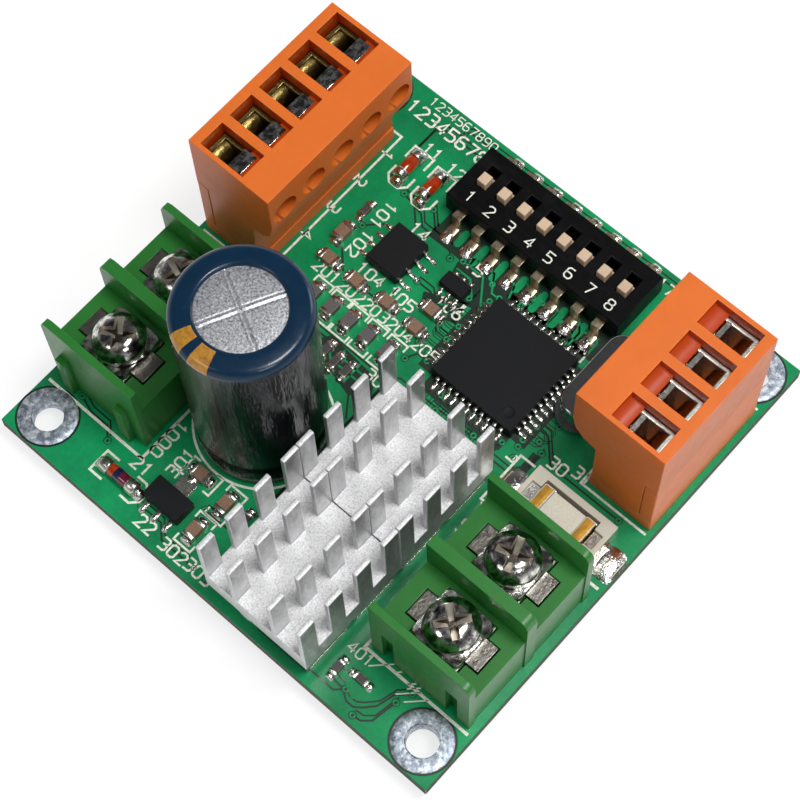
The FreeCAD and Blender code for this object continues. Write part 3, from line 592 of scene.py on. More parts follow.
def ring_finish():
    """Levelled tin: blue-grey, mottled with paler and darker patches."""
    finish = Finish("ring_tin", colour("C4CCD6"), 0.4, 0.85)
    mottle = finish.noise(0.6, 4.0, 0.75)
    finish.set("Base Color", finish.ramp(mottle, (0.38, (0.16, 0.19, 0.25)), (0.5, (0.36, 0.4, 0.46)),
                                         (0.62, (0.72, 0.76, 0.8))))
    finish.set("Roughness", 0.34 + 0.28 * mottle)
    return finish.relief(mottle, 0.06, 0.7)


def solder_finish():
    """Reflowed tin: bright, lumpy, and greyer where flux was left."""
    finish = Finish("solder", colour("C9C7C0"), 0.22, 1.0)
    flux = (finish.noise(0.5, 3.0, 0.65) * 1.8 - 1.0).clipped()
    finish.set("Base Color", finish.mix(flux, colour("D6D5D0"), colour("6E5A48")))
    finish.set("Roughness", 0.14 + 0.3 * flux)
    return finish.relief(finish.noise(0.3, 3.0, 0.6), 0.09, 0.8)


def plastic_finish(name, base, roughness, glow=0.12, grain=0.5, depth=0.012, coat=0.05, streak=(1, 1, 1)):
    """Moulded plastic: slightly uneven colour, faint flow marks, and some light let through."""
    finish = Finish(name, base, roughness, Coat_Weight=coat, Coat_Roughness=0.2, Specular_IOR_Level=0.3)
    finish.set("Subsurface Weight", glow)
    finish.set("Subsurface Radius", (1.0, 0.45, 0.25))
    finish.set("Subsurface Scale", 0.0012)
    dark = shade(base, 0.72)
    finish.set("Base Color", finish.mix(finish.noise(3.5, 3.0, 0.6, streak) * 0.6, base, dark))
    finish.set("Roughness", roughness * 0.8 + roughness * 0.5 * finish.noise(1.2, 3.0, 0.6, streak))
    return finish.relief(finish.noise(grain, 4.0, 0.6, streak), depth, 0.6)


def frosted_finish(colours):
    """Tumbled aluminium: a frosty grain, with painted sparkle in the hollows and on the fin tips."""
    finish = Finish("sink_frosted", colours.sink, 0.38, 0.45)
    frost = finish.noise(0.16, 3.0, 0.75)
    # Painted sparkle: paler specks at the cell middles stand in for glints; the frost itself is grain.
    spark = (finish.cells(0.16) * 1.6 - 0.5).clipped() * 0.4
    grey = shade(colours.sink, 0.42)
    finish.set("Base Color", finish.mix((frost * 1.5 - 0.5 + spark).clipped(), colours.sink, grey))
    finish.set("Roughness", 0.34 + 0.22 * frost)
    return finish.relief(frost, 0.05, 0.7)


def sawn_finish(colours):
    """Sawn aluminium on the fin faces: greyer, with upright marks, and with painted shading, paler lower
    down.
    """
    finish = Finish("sink_sawn", colours.sink, 0.28, 0.75)
    mark = finish.noise(0.7, 4.0, 0.7, (1, 1, 3))
    # Painted shading: the fin faces grow darker with height above the floor between the fins.
    low = ((finish.axis("Z") - SINK_FLOOR) * 0.16).clipped()
    dark, pale = shade(colours.sink, 0.26), shade(colours.sink, 0.72)
    finish.set("Base Color", finish.mix((mark * 1.3 - 0.42 + low * 0.5).clipped(), pale, dark))
    finish.set("Roughness", 0.22 + 0.2 * mark)
    return finish.relief(mark, 0.04, 0.5)


def ceramic_finish(name, code, speck_code):
    finish = Finish(name, colour(code), 0.5)
    speck = (finish.noise(0.14, 2.0, 0.7) * 2.2 - 0.7).clipped()
    finish.set("Base Color", finish.mix(speck, colour(code), colour(speck_code)))
    finish.set("Roughness", 0.38 + 0.25 * finish.noise(0.3))
    return finish.relief(finish.noise(0.1), 0.02, 0.5)


def package_finish(colours):
    """Black moulding compound with a fine matt grain."""
    finish = Finish("package_black", colours.package, 0.55, Specular_IOR_Level=0.15)
    worn = shade(colours.package, 1.4)
    finish.set("Base Color", finish.mix(finish.noise(0.6, 4.0, 0.7) * 0.7, colours.package, worn))
    finish.set("Roughness", 0.42 + 0.25 * finish.noise(0.8))
    return finish.relief(finish.noise(0.1, 3.0, 0.7), 0.012, 0.7)


def switch_finish(colours):
    """Black plastic with a spark-eroded texture and dusty grey scuffs."""
    finish = Finish("switch_black", colours.switch, 0.42, Specular_IOR_Level=0.1)
    scuff = (finish.noise(1.1, 5.0, 0.75, (1, 3, 1)) * 2.6 - 1.3).clipped() * 0.25
    finish.set("Base Color", finish.mix(scuff, colours.switch, colour("303134")))
    finish.set("Roughness", 0.3 + 0.3 * finish.noise(0.5))
    return finish.relief(finish.noise(0.18, 4.0, 0.7), 0.02, 0.6)


def sleeve_side_finish(colours):
    """Dark film with upright wrinkles where it shrank, and painted reflections as pale upright streaks."""
    finish = Finish("sleeve_side", colours.sleeve_side, 0.16, Specular_IOR_Level=0.18)
    wrinkle = finish.noise(1.0, 3.0, 0.65, (1, 1, 9))
    # Painted reflections: narrow pale upright streaks in the base colour.
    streak = (finish.noise(1.3, 2.0, 0.6, (1, 1, 12)) * 3.4 - 2.0).clipped() * 0.2
    finish.set("Base Color", finish.mix(streak, colours.sleeve_side, colour("5A626C")))
    finish.set("Roughness", 0.1 + 0.16 * wrinkle)
    return finish.relief(wrinkle, 0.3, 0.75)


def sleeve_top_finish(colours):
    finish = Finish("sleeve_top", colours.sleeve_top, 0.22, Coat_Weight=0.1, Coat_Roughness=0.08,
                    Specular_IOR_Level=0.3)
    deep = shade(colours.sleeve_top, 0.7)
    finish.set("Base Color", finish.mix(finish.noise(2.5), colours.sleeve_top, deep))
    finish.set("Roughness", 0.16 + 0.16 * finish.noise(0.9))
    return finish.relief(finish.noise(1.6, 3.0), 0.05, 0.5)


def can_finish():
    """Drawn aluminium, pitted by the press: pale grains between dark pits."""
    finish = Finish("can_aluminium", colour("C6C9CF"), 0.34, 0.85)
    grain = finish.noise(0.22, 4.0, 0.75)
    finish.set("Base Color", finish.ramp(grain, (0.34, (0.14, 0.145, 0.16)), (0.5, (0.5, 0.51, 0.54)),
                                         (0.68, (0.86, 0.87, 0.9))))
    finish.set("Roughness", 0.26 + 0.3 * grain)
    return finish.relief(grain, 0.05, 0.6)


def glass_finish(name, tone, deep_code):
    """Stained glass, with swirls of a deeper colour."""
    finish = Finish(name, tone, 0.08, Coat_Weight=0.8, Coat_Roughness=0.03)
    swirl = finish.noise(0.6, 2.0)
    finish.set("Base Color", finish.mix(swirl, tone, colour(deep_code)))
    return finish.relief(finish.noise(1.0), 0.05, 0.4)


def rubber_finish():
    finish = Finish("bung_rubber", colour("151515"), 0.8)
    finish.set("Base Color", finish.mix(finish.noise(0.5), colour("101010"), colour("262626")))
    return finish.relief(finish.noise(0.2, 4.0), 0.03, 0.6)


SHARED = {}


def shared(name):
    """A finish that several pieces have, made once."""
    if name not in SHARED:
        colours = settings()[0]
        makers = {
            "solder": solder_finish,
            "silk": lambda: silk_finish(colours),
            "tin": lambda: metal_finish("tinned_metal", "D2D0C8", 0.24, 0.2, 0.02),
            "lead": lambda: metal_finish("lead_tin", "BDAE92", 0.3, 0.25, 0.03, 0.15),
            "nickel": lambda: metal_finish("clamp_metal", "DAD8CE", 0.34, 0.2, 0.03, 0.35),
            "jaw": lambda: metal_finish("clamp_jaw", "8C7A48", 0.3, 0.5, 0.08, 0.9),
            # The sensor plug's jaws are painted orange: a painted reflection of the orange plastic round
            # them.
            "copper_jaw": lambda: metal_finish("clamp_copper", "B05A28", 0.3, 0.5, 0.08, 0.7),
            # The bright tin and the screw steel carry painted reflections in their colour.
            "bright": lambda: chrome_finish("bright_tin", 0.5),
            "steel": lambda: chrome_finish("screw_steel", 0.8),
            # The cross recess: a paler steel on its wall facets as painted highlight, a dark one at its
            # middle as painted shade.
            "facet": lambda: metal_finish("recess_steel", "E6DFD4", 0.34, 0.3, 0.03, 0.2),
            "hollow": lambda: metal_finish("recess_floor", "5C564E", 0.3, 0.2, 0.05, 0.8),
            # Painted shade: a deeper, darker orange for the walls and ledges down in the wire mouths.
            "mouth": lambda: plastic_finish("plug_mouth", colour("B23C06"), 0.28, 0.0, coat=0.15),
            "package": lambda: package_finish(colours),
            "plug": lambda: plastic_finish("plug_orange", colours.plug, 0.42, 0.3),
            "barrier": lambda: plastic_finish("terminal_green", colours.barrier, 0.34, 0.2),
            "mask": lambda: mask_finish(colours),
            "gap": lambda: gap_finish(colours),
        }
        SHARED[name] = makers[name]()
    return SHARED[name]


# Board, tracks, ink and solder

HOLES = frame["record"]["mounts"][0]["dims"]
HOLE_RADIUS = HOLES["hole_r_mm"]


def hole_places():
    """The middles of the four mounting holes."""
    half_x, half_y = HOLES["spacing_x_mm"] / 2, HOLES["spacing_y_mm"] / 2
    return [Vector((x, y)) for x in (-half_x, half_x) for y in (-half_y, half_y)]


def board_piece(colours):
    form = node_form("circuit_board")
    inset = 0.01

    def on_rim(centre, normal):
        near_edge = max(abs(centre.x), abs(centre.y)) > BOARD_HIGH.x - inset
        return abs(normal.z) < 0.5 and near_edge

    def in_hole(centre, normal):
        return abs(normal.z) < 0.5 and not on_rim(centre, normal)

    form.paint(on_rim, 1)
    form.paint(in_hole, 2)
    form.round_edges(0.06, 1, 60, lambda place: max(abs(place.x), abs(place.y)) > BOARD_HIGH.x - inset)
    finishes = [shared("mask"), laminate_finish(colours), shared("tin")]
    form.piece("board_laminate", "board", finishes, ("circuit_board",), None, 30)


def hole_rings(sizes):
    """Tinned rings, top and bottom, a little crumpled where solder levelled on them."""
    form = Form()
    wide = sizes.ring_wide / MM
    for centre in hole_places():
        for low, high in ((TOP, TOP + 0.07), (UNDER - 0.07, UNDER)):
            middle_level = high if low == TOP else low
            edge = low if low == TOP else high
            section = [(HOLE_RADIUS - 0.02, edge), (HOLE_RADIUS + 0.06, middle_level),
                       (HOLE_RADIUS + wide * 0.5, middle_level), (HOLE_RADIUS + wide - 0.1, middle_level),
                       (HOLE_RADIUS + wide, edge)]
            form.torus_like(section, centre, 72)
        form.torus_like([(HOLE_RADIUS - 0.05, UNDER - 0.05), (HOLE_RADIUS - 0.05, TOP + 0.06),
                         (HOLE_RADIUS - 0.01, TOP + 0.05), (HOLE_RADIUS - 0.01, UNDER - 0.04)], centre, 72)
    form.piece("hole_rings", "board", [ring_finish()], slot="tinned_metal")


DIGITS = {
    "1": [[(0.6, 4.8), (2, 6), (2, 0)]],
    "2": [[(0, 5), (1, 6), (3, 6), (4, 5), (4, 4), (0, 0), (4, 0)]],
    "3": [[(0, 6), (3.4, 6), (4, 5.2), (4, 3.8), (3.2, 3.1), (1.2, 3.1)],
          [(3.2, 3.1), (4, 2.4), (4, 0.8), (3.2, 0), (0, 0)]],
    "4": [[(3, 0), (3, 6), (0, 1.8), (4.2, 1.8)]],
    "5": [[(4, 6), (0, 6), (0, 3.4), (3, 3.4), (4, 2.6), (4, 0.9), (3, 0), (0, 0)]],
    "6": [[(3.6, 6), (1, 6), (0, 5), (0, 1), (1, 0), (3, 0), (4, 1), (4, 2.4), (3, 3.3), (0, 3.3)]],
    "7": [[(0, 6), (4, 6), (1.4, 0)]],
    "8": [[(1, 3.2), (0.2, 4), (0.2, 5.2), (1, 6), (3, 6), (3.8, 5.2), (3.8, 4), (3, 3.2), (1, 3.2),
           (0, 2.4), (0, 0.9), (1, 0), (3, 0), (4, 0.9), (4, 2.4), (3, 3.2)]],
    "9": [[(0.4, 0), (3, 0), (4, 1), (4, 5), (3, 6), (1, 6), (0, 5), (0, 3.6), (1, 2.7), (4, 2.7)]],
    "0": [[(1, 0), (3, 0), (4, 1), (4, 5), (3, 6), (1, 6), (0, 5), (0, 1), (1, 0)]],
}


def write_number(form, number, centre, high, turn, width, low, top):
    """Draws a plain number with its middle at a place, turned about Z by degrees."""
    scale = high / 6
    advance = 5.6 * scale
    quarter = Matrix.Rotation(math.radians(turn), 2)
    digits = str(number)
    for index, digit in enumerate(digits):
        shift = (index - (len(digits) - 1) / 2) * advance
        for stroke in DIGITS[digit]:
            points = [quarter @ Vector(((x - 2) * scale + shift, (y - 3) * scale)) + Vector(centre)
                      for x, y in stroke]
            form.ribbon(points, width, low, top)


def bracket(form, end, along, half, back, width, low, top):
    """A square bracket round the end of a part that lies along a direction."""
    across = side_of(along)
    points = [end - along * back + across * half, end + across * half, end - across * half,
              end - along * back - across * half]
    form.ribbon(points, width, low, top)


def silk_lines(sizes):
    form = Form()
    width, low, top = sizes.silk_wide / MM, TOP - SUNK, TOP + sizes.silk_thick / MM
    # round the capacitor
    can_low, can_high = node_box("capacitor_sleeve")
    centre, radius = middle(can_low, can_high).xy, (can_high.x - can_low.x) / 2 + 0.35
    circle = [centre + heading(a) * radius
              for a in (math.tau * step / 96 for step in range(96))]
    form.ribbon(circle, width, low, top, closed=True)
    # beside the terminals
    for node, outward in (("motor_terminal_housing", -1), ("power_terminal_housing", 1)):
        box_low, box_high = node_box(node)
        inner = box_high.y + 0.45 if outward < 0 else box_low.y - 0.45
        outer = box_low.y - 0.3 if outward < 0 else box_high.y + 0.3
        left, right = box_low.x - 0.45, box_high.x + 0.45
        outline = [(left, outer), (left, inner), (right, inner), (right, outer)]
        form.ribbon(outline, width * 1.25, low, top)
    for node in ("signal_plug_housing", "sensor_plug_housing"):
        box_low, box_high = node_box(node)
        inward = -1 if box_low.y > 0 else 1
        outer = box_high.y if inward < 0 else box_low.y
        level = outer + inward * 7.9
        left, right = box_low.x - 0.5, box_high.x + 0.5
        form.ribbon([(left, outer), (left, level), (right, level), (right, outer)], width, low, top)
    # diodes: square behind, cut corners in front
    for box_low, box_high in node_solids("glass_diodes"):
        size = box_high - box_low
        along = long_way(size)
        across = side_of(along)
        half_long, half = max(size.x, size.y) / 2 + 0.65, 1.25
        centre = middle(box_low, box_high).xy
        bracket(form, centre + along * half_long, along, half, 1.6, width, low, top)
        near = centre - along * half_long
        form.ribbon([near + along * 1.9 + across * half, near + along * 0.7 + across * half,
                     near + across * (half - 0.7), near - across * (half - 0.7),
                     near + along * 0.7 - across * half, near + along * 1.9 - across * half],
                    width, low, top)
    # chip parts: brackets round the larger ones, and plain numbers beside them
    for box_low, box_high in node_solids("chip_components"):
        size = box_high - box_low
        bead = BEAD_COLUMN[0] < middle(box_low, box_high).x < BEAD_COLUMN[1]
        if max(size.x, size.y) < 1.8 or not (bead or box_low.x < BOARD_LOW.x + 9):
            continue
        along = long_way(size)
        centre = middle(box_low, box_high).xy
        for side in (-1, 1):
            end = centre + along * side * (max(size.x, size.y) / 2 + 0.85)
            bracket(form, end, along * side, min(size.x, size.y) / 2 + 0.42, 0.75, width * 0.85, low, top)
    # fuse holder
    box_low, box_high = node_box("fuse_holder")
    form.ribbon([(box_low.x - 0.4, box_high.y - 1.4), (box_low.x - 0.4, box_high.y + 0.4),
                 (box_high.x + 0.4, box_high.y + 0.4), (box_high.x + 0.4, box_high.y - 1.4)],
                width, low, top)
    # first-pin marks
    for box_low, box_high in node_solids("small_ics")[:2]:
        form.ribbon([(box_low.x - 0.9, box_low.y - 0.45), (box_low.x + 0.1, box_low.y - 0.45)],
                    width * 1.6, low, top)
    box_low, box_high = node_box("microcontroller")
    form.ribbon([(box_low.x - 1.7, box_low.y - 0.9), (box_low.x - 1.7, box_low.y - 1.7),
                 (box_low.x - 0.9, box_low.y - 1.7)], width, low, top)
    # slanting rows beside the motor terminal, drawn in ink: painted highlights for glints off the lacquer
    # over thin tracks
    for x, y, reach in ((6.1, 10.7, 0.9), (6.7, 9.0, 0.3), (6.6, 7.4, 0.35), (6.4, 7.0, 0.5),
                        (5.7, 7.1, 0.85), (5.6, 6.1, 0.8), (5.2, 5.2, 0.35)):
        form.ribbon([spot(x - reach, y + reach), spot(x + reach, y - reach)], width * 0.5, low, top)
    form.piece("silk_lines", "board", [shared("silk")], even=False, slot="solder_mask")


def silk_numbers(sizes):
    """Plain numbers beside the parts, and one for each pole of the longer plug."""
    form = Form()
    low, top = TOP - SUNK, TOP + sizes.silk_thick / MM
    wide = sizes.silk_wide / MM * 0.8
    for number, x, y, high, turn in NUMBERS:
        write_number(form, number, spot(x, y), high, turn, wide * min(1.2, high ** 2 / 1.35), low, top)
    inner = node_box("signal_plug_housing")[0].y
    for pole in range(1, 6):
        x = middle(*node_box(f"signal_clamp_screw_{pole}")).x
        write_number(form, pole, (x, inner + 2.0), 1.25, 180, wide, low, top)
    form.piece("silk_numbers", "board", [shared("silk")], even=False, slot="solder_mask")


# Numbers on the board: value, place from the near left corner, height, turn.
NUMBERS = [
    (1234567890, 53.65, 42.3, 0.95, -90), (12345678, 51.9, 43.0, 1.4, -90),
    (11, 49.2, 42.6, 1.2, -90), (12, 49.0, 39.3, 1.2, -90), (101, 40.6, 41.6, 1.2, 180),
    (102, 36.7, 41.2, 1.2, 180), (14, 41.6, 37.6, 1.25, -90),
    (104, 34.9, 38.1, 1.2, -90), (105, 34.9, 34.0, 1.2, -90), (201, 32.3, 41.6, 1.15, -90),
    (202, 32.3, 38.3, 1.15, -90), (203, 32.3, 35.1, 1.15, -90), (204, 32.3, 31.9, 1.15, -90),
    (205, 32.3, 28.6, 1.15, -90), (15, 42.3, 30.9, 1.25, -90), (106, 37.3, 29.9, 1.15, -90),
    (16, 41.8, 16.0, 1.25, -90), (21, 5.5, 41.0, 1.25, -90), (301, 8.2, 38.4, 1.2, 0),
    (22, 1.5, 36.6, 1.25, -90), (302, 1.3, 32.8, 1.2, -90), (303, 1.4, 29.6, 1.2, -90),
    (1000, 9.2, 41.0, 1.2, 180), (401, 5.6, 12.9, 1.05, -90),
    (30, 31.6, 11.2, 1.2, -90), (31, 32.4, 8.8, 1.2, -90), (17, 52.9, 15.4, 1.2, -90),
    (18, 24.6, 13.6, 1.2, 0), (19, 21.0, 13.7, 1.2, 0), (304, 26.9, 29.9, 1.15, -90),
]

# Gaps beside tracks: points from the near left corner. Each is a lane where the copper was etched away.
LANES = [
    [(2.2, 13.5), (2.1, 12.0), (1.4, 10.9), (1.4, 10.1), (1.9, 9.4), (2.9, 8.5), (4.7, 8.0), (5.9, 6.8)],
    [(0.8, 9.6), (0.9, 8.7), (1.6, 7.9), (4.3, 7.4)], [(3.4, 13.0), (4.2, 12.2)],
    [(6.9, 50.4), (6.3, 48.6), (6.3, 46.4), (5.2, 45.3)],
    [(2.6, 38.2), (2.6, 35.6), (1.4, 34.4), (1.4, 30.2)],
    [(1.4, 28.6), (1.4, 12.5), (2.2, 11.7)],
    [(6.3, 33.4), (6.3, 30.6), (9.2, 29.2), (26.8, 29.2)],
    [(27.0, 42.6), (27.0, 29.4), (28.0, 28.4), (28.0, 14.4), (29.2, 13.2), (31.6, 13.2)],
    [(44.4, 38.2), (42.8, 36.6), (42.8, 33.4), (44.0, 32.2), (44.0, 29.0)],
    [(43.8, 41.6), (43.2, 38.8), (42.2, 37.8), (42.2, 34.2), (41.4, 33.4)],
    [(42.0, 28.4), (43.2, 27.2), (43.2, 15.6), (45.0, 13.8), (50.6, 13.8)],
    [(31.6, 27.8), (31.6, 29.0), (30.4, 29.6)],
    [(34.6, 27.9), (34.6, 29.2), (37.4, 32.4), (37.4, 34.2)],
    [(36.4, 27.9), (36.4, 28.8), (41.0, 28.8), (42.0, 29.8), (42.0, 32.2)],
    [(41.9, 24.7), (42.6, 24.7), (43.0, 24.3)],
    [(41.9, 21.6), (43.6, 21.6)],
    [(41.9, 19.1), (43.4, 19.1), (44.2, 18.3)],
    [(39.0, 15.3), (39.0, 11.4), (37.6, 10.6)],
    [(33.4, 15.3), (33.4, 13.9), (31.2, 11.8), (31.2, 3.4)],
    [(30.0, 16.8), (28.9, 16.8), (28.9, 24.4), (29.8, 24.4)],
    [(52.9, 41.6), (53.4, 41.1), (53.4, 12.6), (52.6, 11.8)],
    [(24.6, 31.6), (21.9, 29.6)], [(24.2, 37.2), (26.6, 39.6), (26.6, 43.4)],
    [(47.8, 44.0), (51.2, 44.0), (51.9, 43.3), (51.9, 38.6)],
    [(41.6, 36.7), (43.6, 36.7)], [(41.6, 38.1), (43.4, 39.9)],
    [(5.9, 27.5), (5.9, 29.0)], [(33.3, 36.4), (33.3, 37.0)],
    [(33.4, 40.4), (35.4, 42.4)], [(38.4, 42.4), (40.2, 40.6), (40.2, 39.6)],
]


# Fields with no copper: outlines from the near left corner.
FIELDS = [
    [(41.6, 32.6), (44.0, 31.4), (45.0, 28.3), (43.0, 25.6), (38.9, 27.3), (38.3, 30.0), (39.4, 32.0)],
    [(27.6, 36.6), (27.0, 30.4), (25.0, 29.2), (23.9, 31.2), (24.8, 34.9), (26.6, 37.2)],
    [(9.0, 13.9), (9.0, 13.0), (31.2, 13.0), (31.2, 13.9)],
    [(43.2, 24.6), (45.0, 24.0), (45.0, 15.4), (43.0, 15.4)],
    [(38.9, 29.0), (36.4, 28.2), (35.2, 32.0), (37.0, 33.0)],
]

# Tracks that cross the fields or run beside them, from the near left corner.
TRACKS = [
    [(41.0, 32.2), (41.0, 30.4), (39.6, 29.0)], [(42.0, 31.8), (42.0, 29.6), (39.4, 27.7)],
    [(43.0, 31.2), (43.0, 29.0), (41.2, 27.8), (41.2, 26.8)], [(44.6, 28.2), (43.2, 26.6), (41.9, 26.2)],
    [(44.6, 26.0), (43.4, 25.0), (41.9, 25.0)], [(44.8, 22.6), (43.8, 21.6), (41.9, 21.6)],
    [(44.8, 19.6), (43.6, 18.6), (41.9, 18.6)], [(44.8, 17.2), (43.8, 16.6), (42.0, 16.6)],
    [(26.8, 36.2), (25.6, 35.0), (25.6, 31.0)], [(27.2, 34.6), (26.4, 33.8), (26.4, 30.2)],
    [(24.6, 32.4), (27.2, 32.4)], [(2.7, 12.1), (1.9, 10.6)],
    [(10.0, 13.5), (15.0, 13.5), (15.6, 13.9)], [(19.0, 13.4), (26.0, 13.4), (26.6, 13.9)],
    [(38.4, 28.4), (37.4, 29.4), (36.0, 29.8)], [(38.2, 29.6), (36.6, 31.2)],
]


def flat(form, points, level, skin=0):
    """One level face with the given outline."""
    face = form.bm.faces.new([form.bm.verts.new((point[0], point[1], level)) for point in points])
    face.material_index = skin
    face.normal_update()
    if face.normal.z < 0:
        face.normal_flip()


def stadium(low, high, steps=6):
    """The outline of a bar with round ends, along its longer side."""
    size = high - low
    along = 0 if size.x > size.y else 1
    half = size[1 - along] / 2
    centre = (low + high) / 2
    reach = size[along] / 2 - half
    points = []
    for side in (1, -1):
        for step in range(steps + 1):
            angle = -math.pi / 2 + math.pi * step / steps
            out, over = side * (reach + half * math.cos(angle)), side * half * math.sin(angle)
            points.append(centre + (Vector((out, over)) if along == 0 else Vector((-over, out))))
    return points


def copper_gaps(sizes):
    """Lanes either side of the tracks, and the bare fields between them."""
    form = Form()
    low, top, wide = TOP - SUNK, TOP + 0.012, sizes.gap_wide / MM
    for field in FIELDS:
        flat(form, [spot(*point) for point in field], TOP + 0.003)
    box_low, box_high = node_box("microcontroller")
    reach = 1.75
    outer_low, outer_high = box_low - Vector((reach, reach, 0)), box_high + Vector((reach, reach, 0))
    for x_low, y_low, x_high, y_high in (
            (outer_low.x, box_low.y, box_low.x + 0.3, box_high.y),
            (box_high.x - 0.3, box_low.y, outer_high.x, box_high.y),
            (box_low.x, outer_low.y, box_high.x, box_low.y + 0.3),
            (box_low.x, box_high.y - 0.3, box_high.x, outer_high.y)):
        flat(form, [(x_low, y_low), (x_high, y_low), (x_high, y_high), (x_low, y_high)], TOP + 0.004)
    for lane in LANES:
        form.ribbon([spot(*point) for point in lane], wide, low, top)
        if len(lane) > 3:
            shifted = [(x + 0.55, y + 0.1) for x, y in lane]
            form.ribbon([spot(*point) for point in shifted], wide * 0.85, low, top)
    for (x, y, _), outward, _ in lead_ends("microcontroller"):
        chance = random.Random(round(x * 31 + y * 17))
        start = Vector((x, y)) + outward * 0.5
        across = side_of(outward) * chance.choice((-1, 1))
        reach = chance.uniform(0.5, 1.5)
        turn_at = start + outward * reach
        end = turn_at + (outward + across) * chance.uniform(0.2, 0.7)
        for side in (-0.15, 0.15):
            offset = side_of(outward) * side
            form.ribbon([start + offset, turn_at + offset, end + offset], 0.1, low, top)
    for place in hole_places():
        edge = HOLE_RADIUS + sizes.ring_wide / MM
        form.ring(place, edge - 0.05, edge + 0.2, low, top, 64)
    body_low, body_high = node_box("dip_switch_housing")
    strip_low = Vector((body_low.x - 3.3, body_low.y + 0.6))
    flat(form, [tuple(strip_low), (body_low.x + 0.3, strip_low.y), (body_low.x + 0.3, body_high.y - 0.6),
                (strip_low.x, body_high.y - 0.6)], TOP + 0.004)
    form.piece("copper_gaps", "board", [shared("gap")], even=False, slot="solder_mask")
    bright = Form()
    for track in TRACKS:
        bright.ribbon([spot(*point) for point in track], 0.2, low, TOP + 0.03)
    ways = sorted({round(middle(*node_box(f"dip_slider_{number}")).y, 3) for number in range(1, 9)})
    for index, (first, second) in enumerate(zip(ways, ways[1:])):
        level = (first + second) / 2
        reach = 3.1 if index % 3 else 2.5
        outline = stadium(Vector((body_low.x - reach, level - 0.4)),
                          Vector((body_low.x - 0.35, level + 0.4)))
        bright.prism(outline, TOP - SUNK, TOP + 0.03)
    bright.piece("copper_islands", "board", [shared("mask")], even=False, slot="solder_mask")


def vias(sizes):
    """Tented holes: a raised ring with a dark dimple."""
    form = Form()
    outer = sizes.via / MM
    chance = random.Random(7)
    places = [spot(*lane[index]) for lane in LANES for index in (0, -1) if len(lane) > 2]
    low, high = node_box("microcontroller")
    centre = middle(low, high).xy
    for _ in range(26):
        angle = chance.uniform(0, math.tau)
        reach = chance.uniform(7.3, 9.2)
        places.append(centre + heading(angle) * reach)
    for place in places:
        if max(abs(place.x), abs(place.y)) > BOARD_HIGH.x - 0.6:
            continue
        form.torus_like([(outer * 0.42, TOP + 0.005), (outer * 0.6, TOP + 0.035),
                         (outer * 0.85, TOP + 0.035), (outer, TOP - 0.005)], place, 20)
        form.ring(place, outer * 0.05, outer * 0.42, TOP - SUNK, TOP + 0.008, 16, 1)
        form.ring(place, outer, outer * 1.22, TOP - SUNK, TOP + 0.014, 20, 1)
    form.piece("vias", "board", [shared("mask"), shared("gap")], slot="solder_mask")


def package_boxes():
    boxes = [node_box("microcontroller")] + node_solids("small_ics") + node_solids("power_transistors")
    return boxes + [node_box("dip_switch_housing")]


def lead_ends(node=None):
    """For each soldered lead: the middle of its foot's end, the way it points, and half its width."""
    boxes = [node_box(node)] if node else package_boxes()
    found = []
    for leads in ("ic_leads", "dip_switch_contacts"):
        for low, high in node_solids(leads):
            centre = middle(low, high)
            best = None
            for box_low, box_high in boxes:
                apart = max(abs(centre.x - middle(box_low, box_high).x) - (box_high.x - box_low.x) / 2,
                            abs(centre.y - middle(box_low, box_high).y) - (box_high.y - box_low.y) / 2)
                if best is None or apart < best[0]:
                    best = (apart, box_low, box_high)
            apart, box_low, box_high = best
            if apart > 1.6:
                continue
            ways = {(1, 0): high.x - box_high.x, (-1, 0): box_low.x - low.x,
                    (0, 1): high.y - box_high.y, (0, -1): box_low.y - low.y}
            way = max(ways, key=ways.get)
            if ways[way] < 0.2:
                continue
            outward = Vector(way)
            half = ((high.y - low.y) if way[0] else (high.x - low.x)) / 2
            reach = ways[way]
            edge = {(1, 0): high.x, (-1, 0): low.x, (0, 1): high.y, (0, -1): low.y}[way]
            end = (edge, centre.y, reach) if way[0] else (centre.x, edge, reach)
            found.append((end, outward, half))
    return found


SOLDER_HIGH = 0.3


def solder_joints(sizes):
    """A heap of solder on every lead's foot, which runs out a little past the foot."""
    form = Form()
    for (x, y, reach), outward, half in lead_ends():
        end = Vector((x, y))
        across = side_of(outward)
        broad = half > 0.4 and reach < 2
        run = 0.8 if broad else min(reach * 0.75, 1.9)
        spread = 0.66 if broad else half * 1.18 + (0.12 if half > 0.25 else 0.03)
        margin = 0.95 if broad else sizes.solder_out / MM * (1.1 if half > 0.2 else 0.7)
        corners = [end + outward * margin + across * spread,
                   end - outward * run - across * spread]
        low = Vector((min(c.x for c in corners), min(c.y for c in corners)))
        high = Vector((min(max(c.x for c in corners), BOARD_HIGH.x - 0.25), max(c.y for c in corners)))
        form.mound(low, high, HEAP_FOOT, TOP + SOLDER_HIGH)
    form.jitter(0.035, 11, lambda place: place.z > TOP + 0.02)
    form.piece("solder_joints", "board", [shared("solder")], sharp=80, slot="tinned_metal")


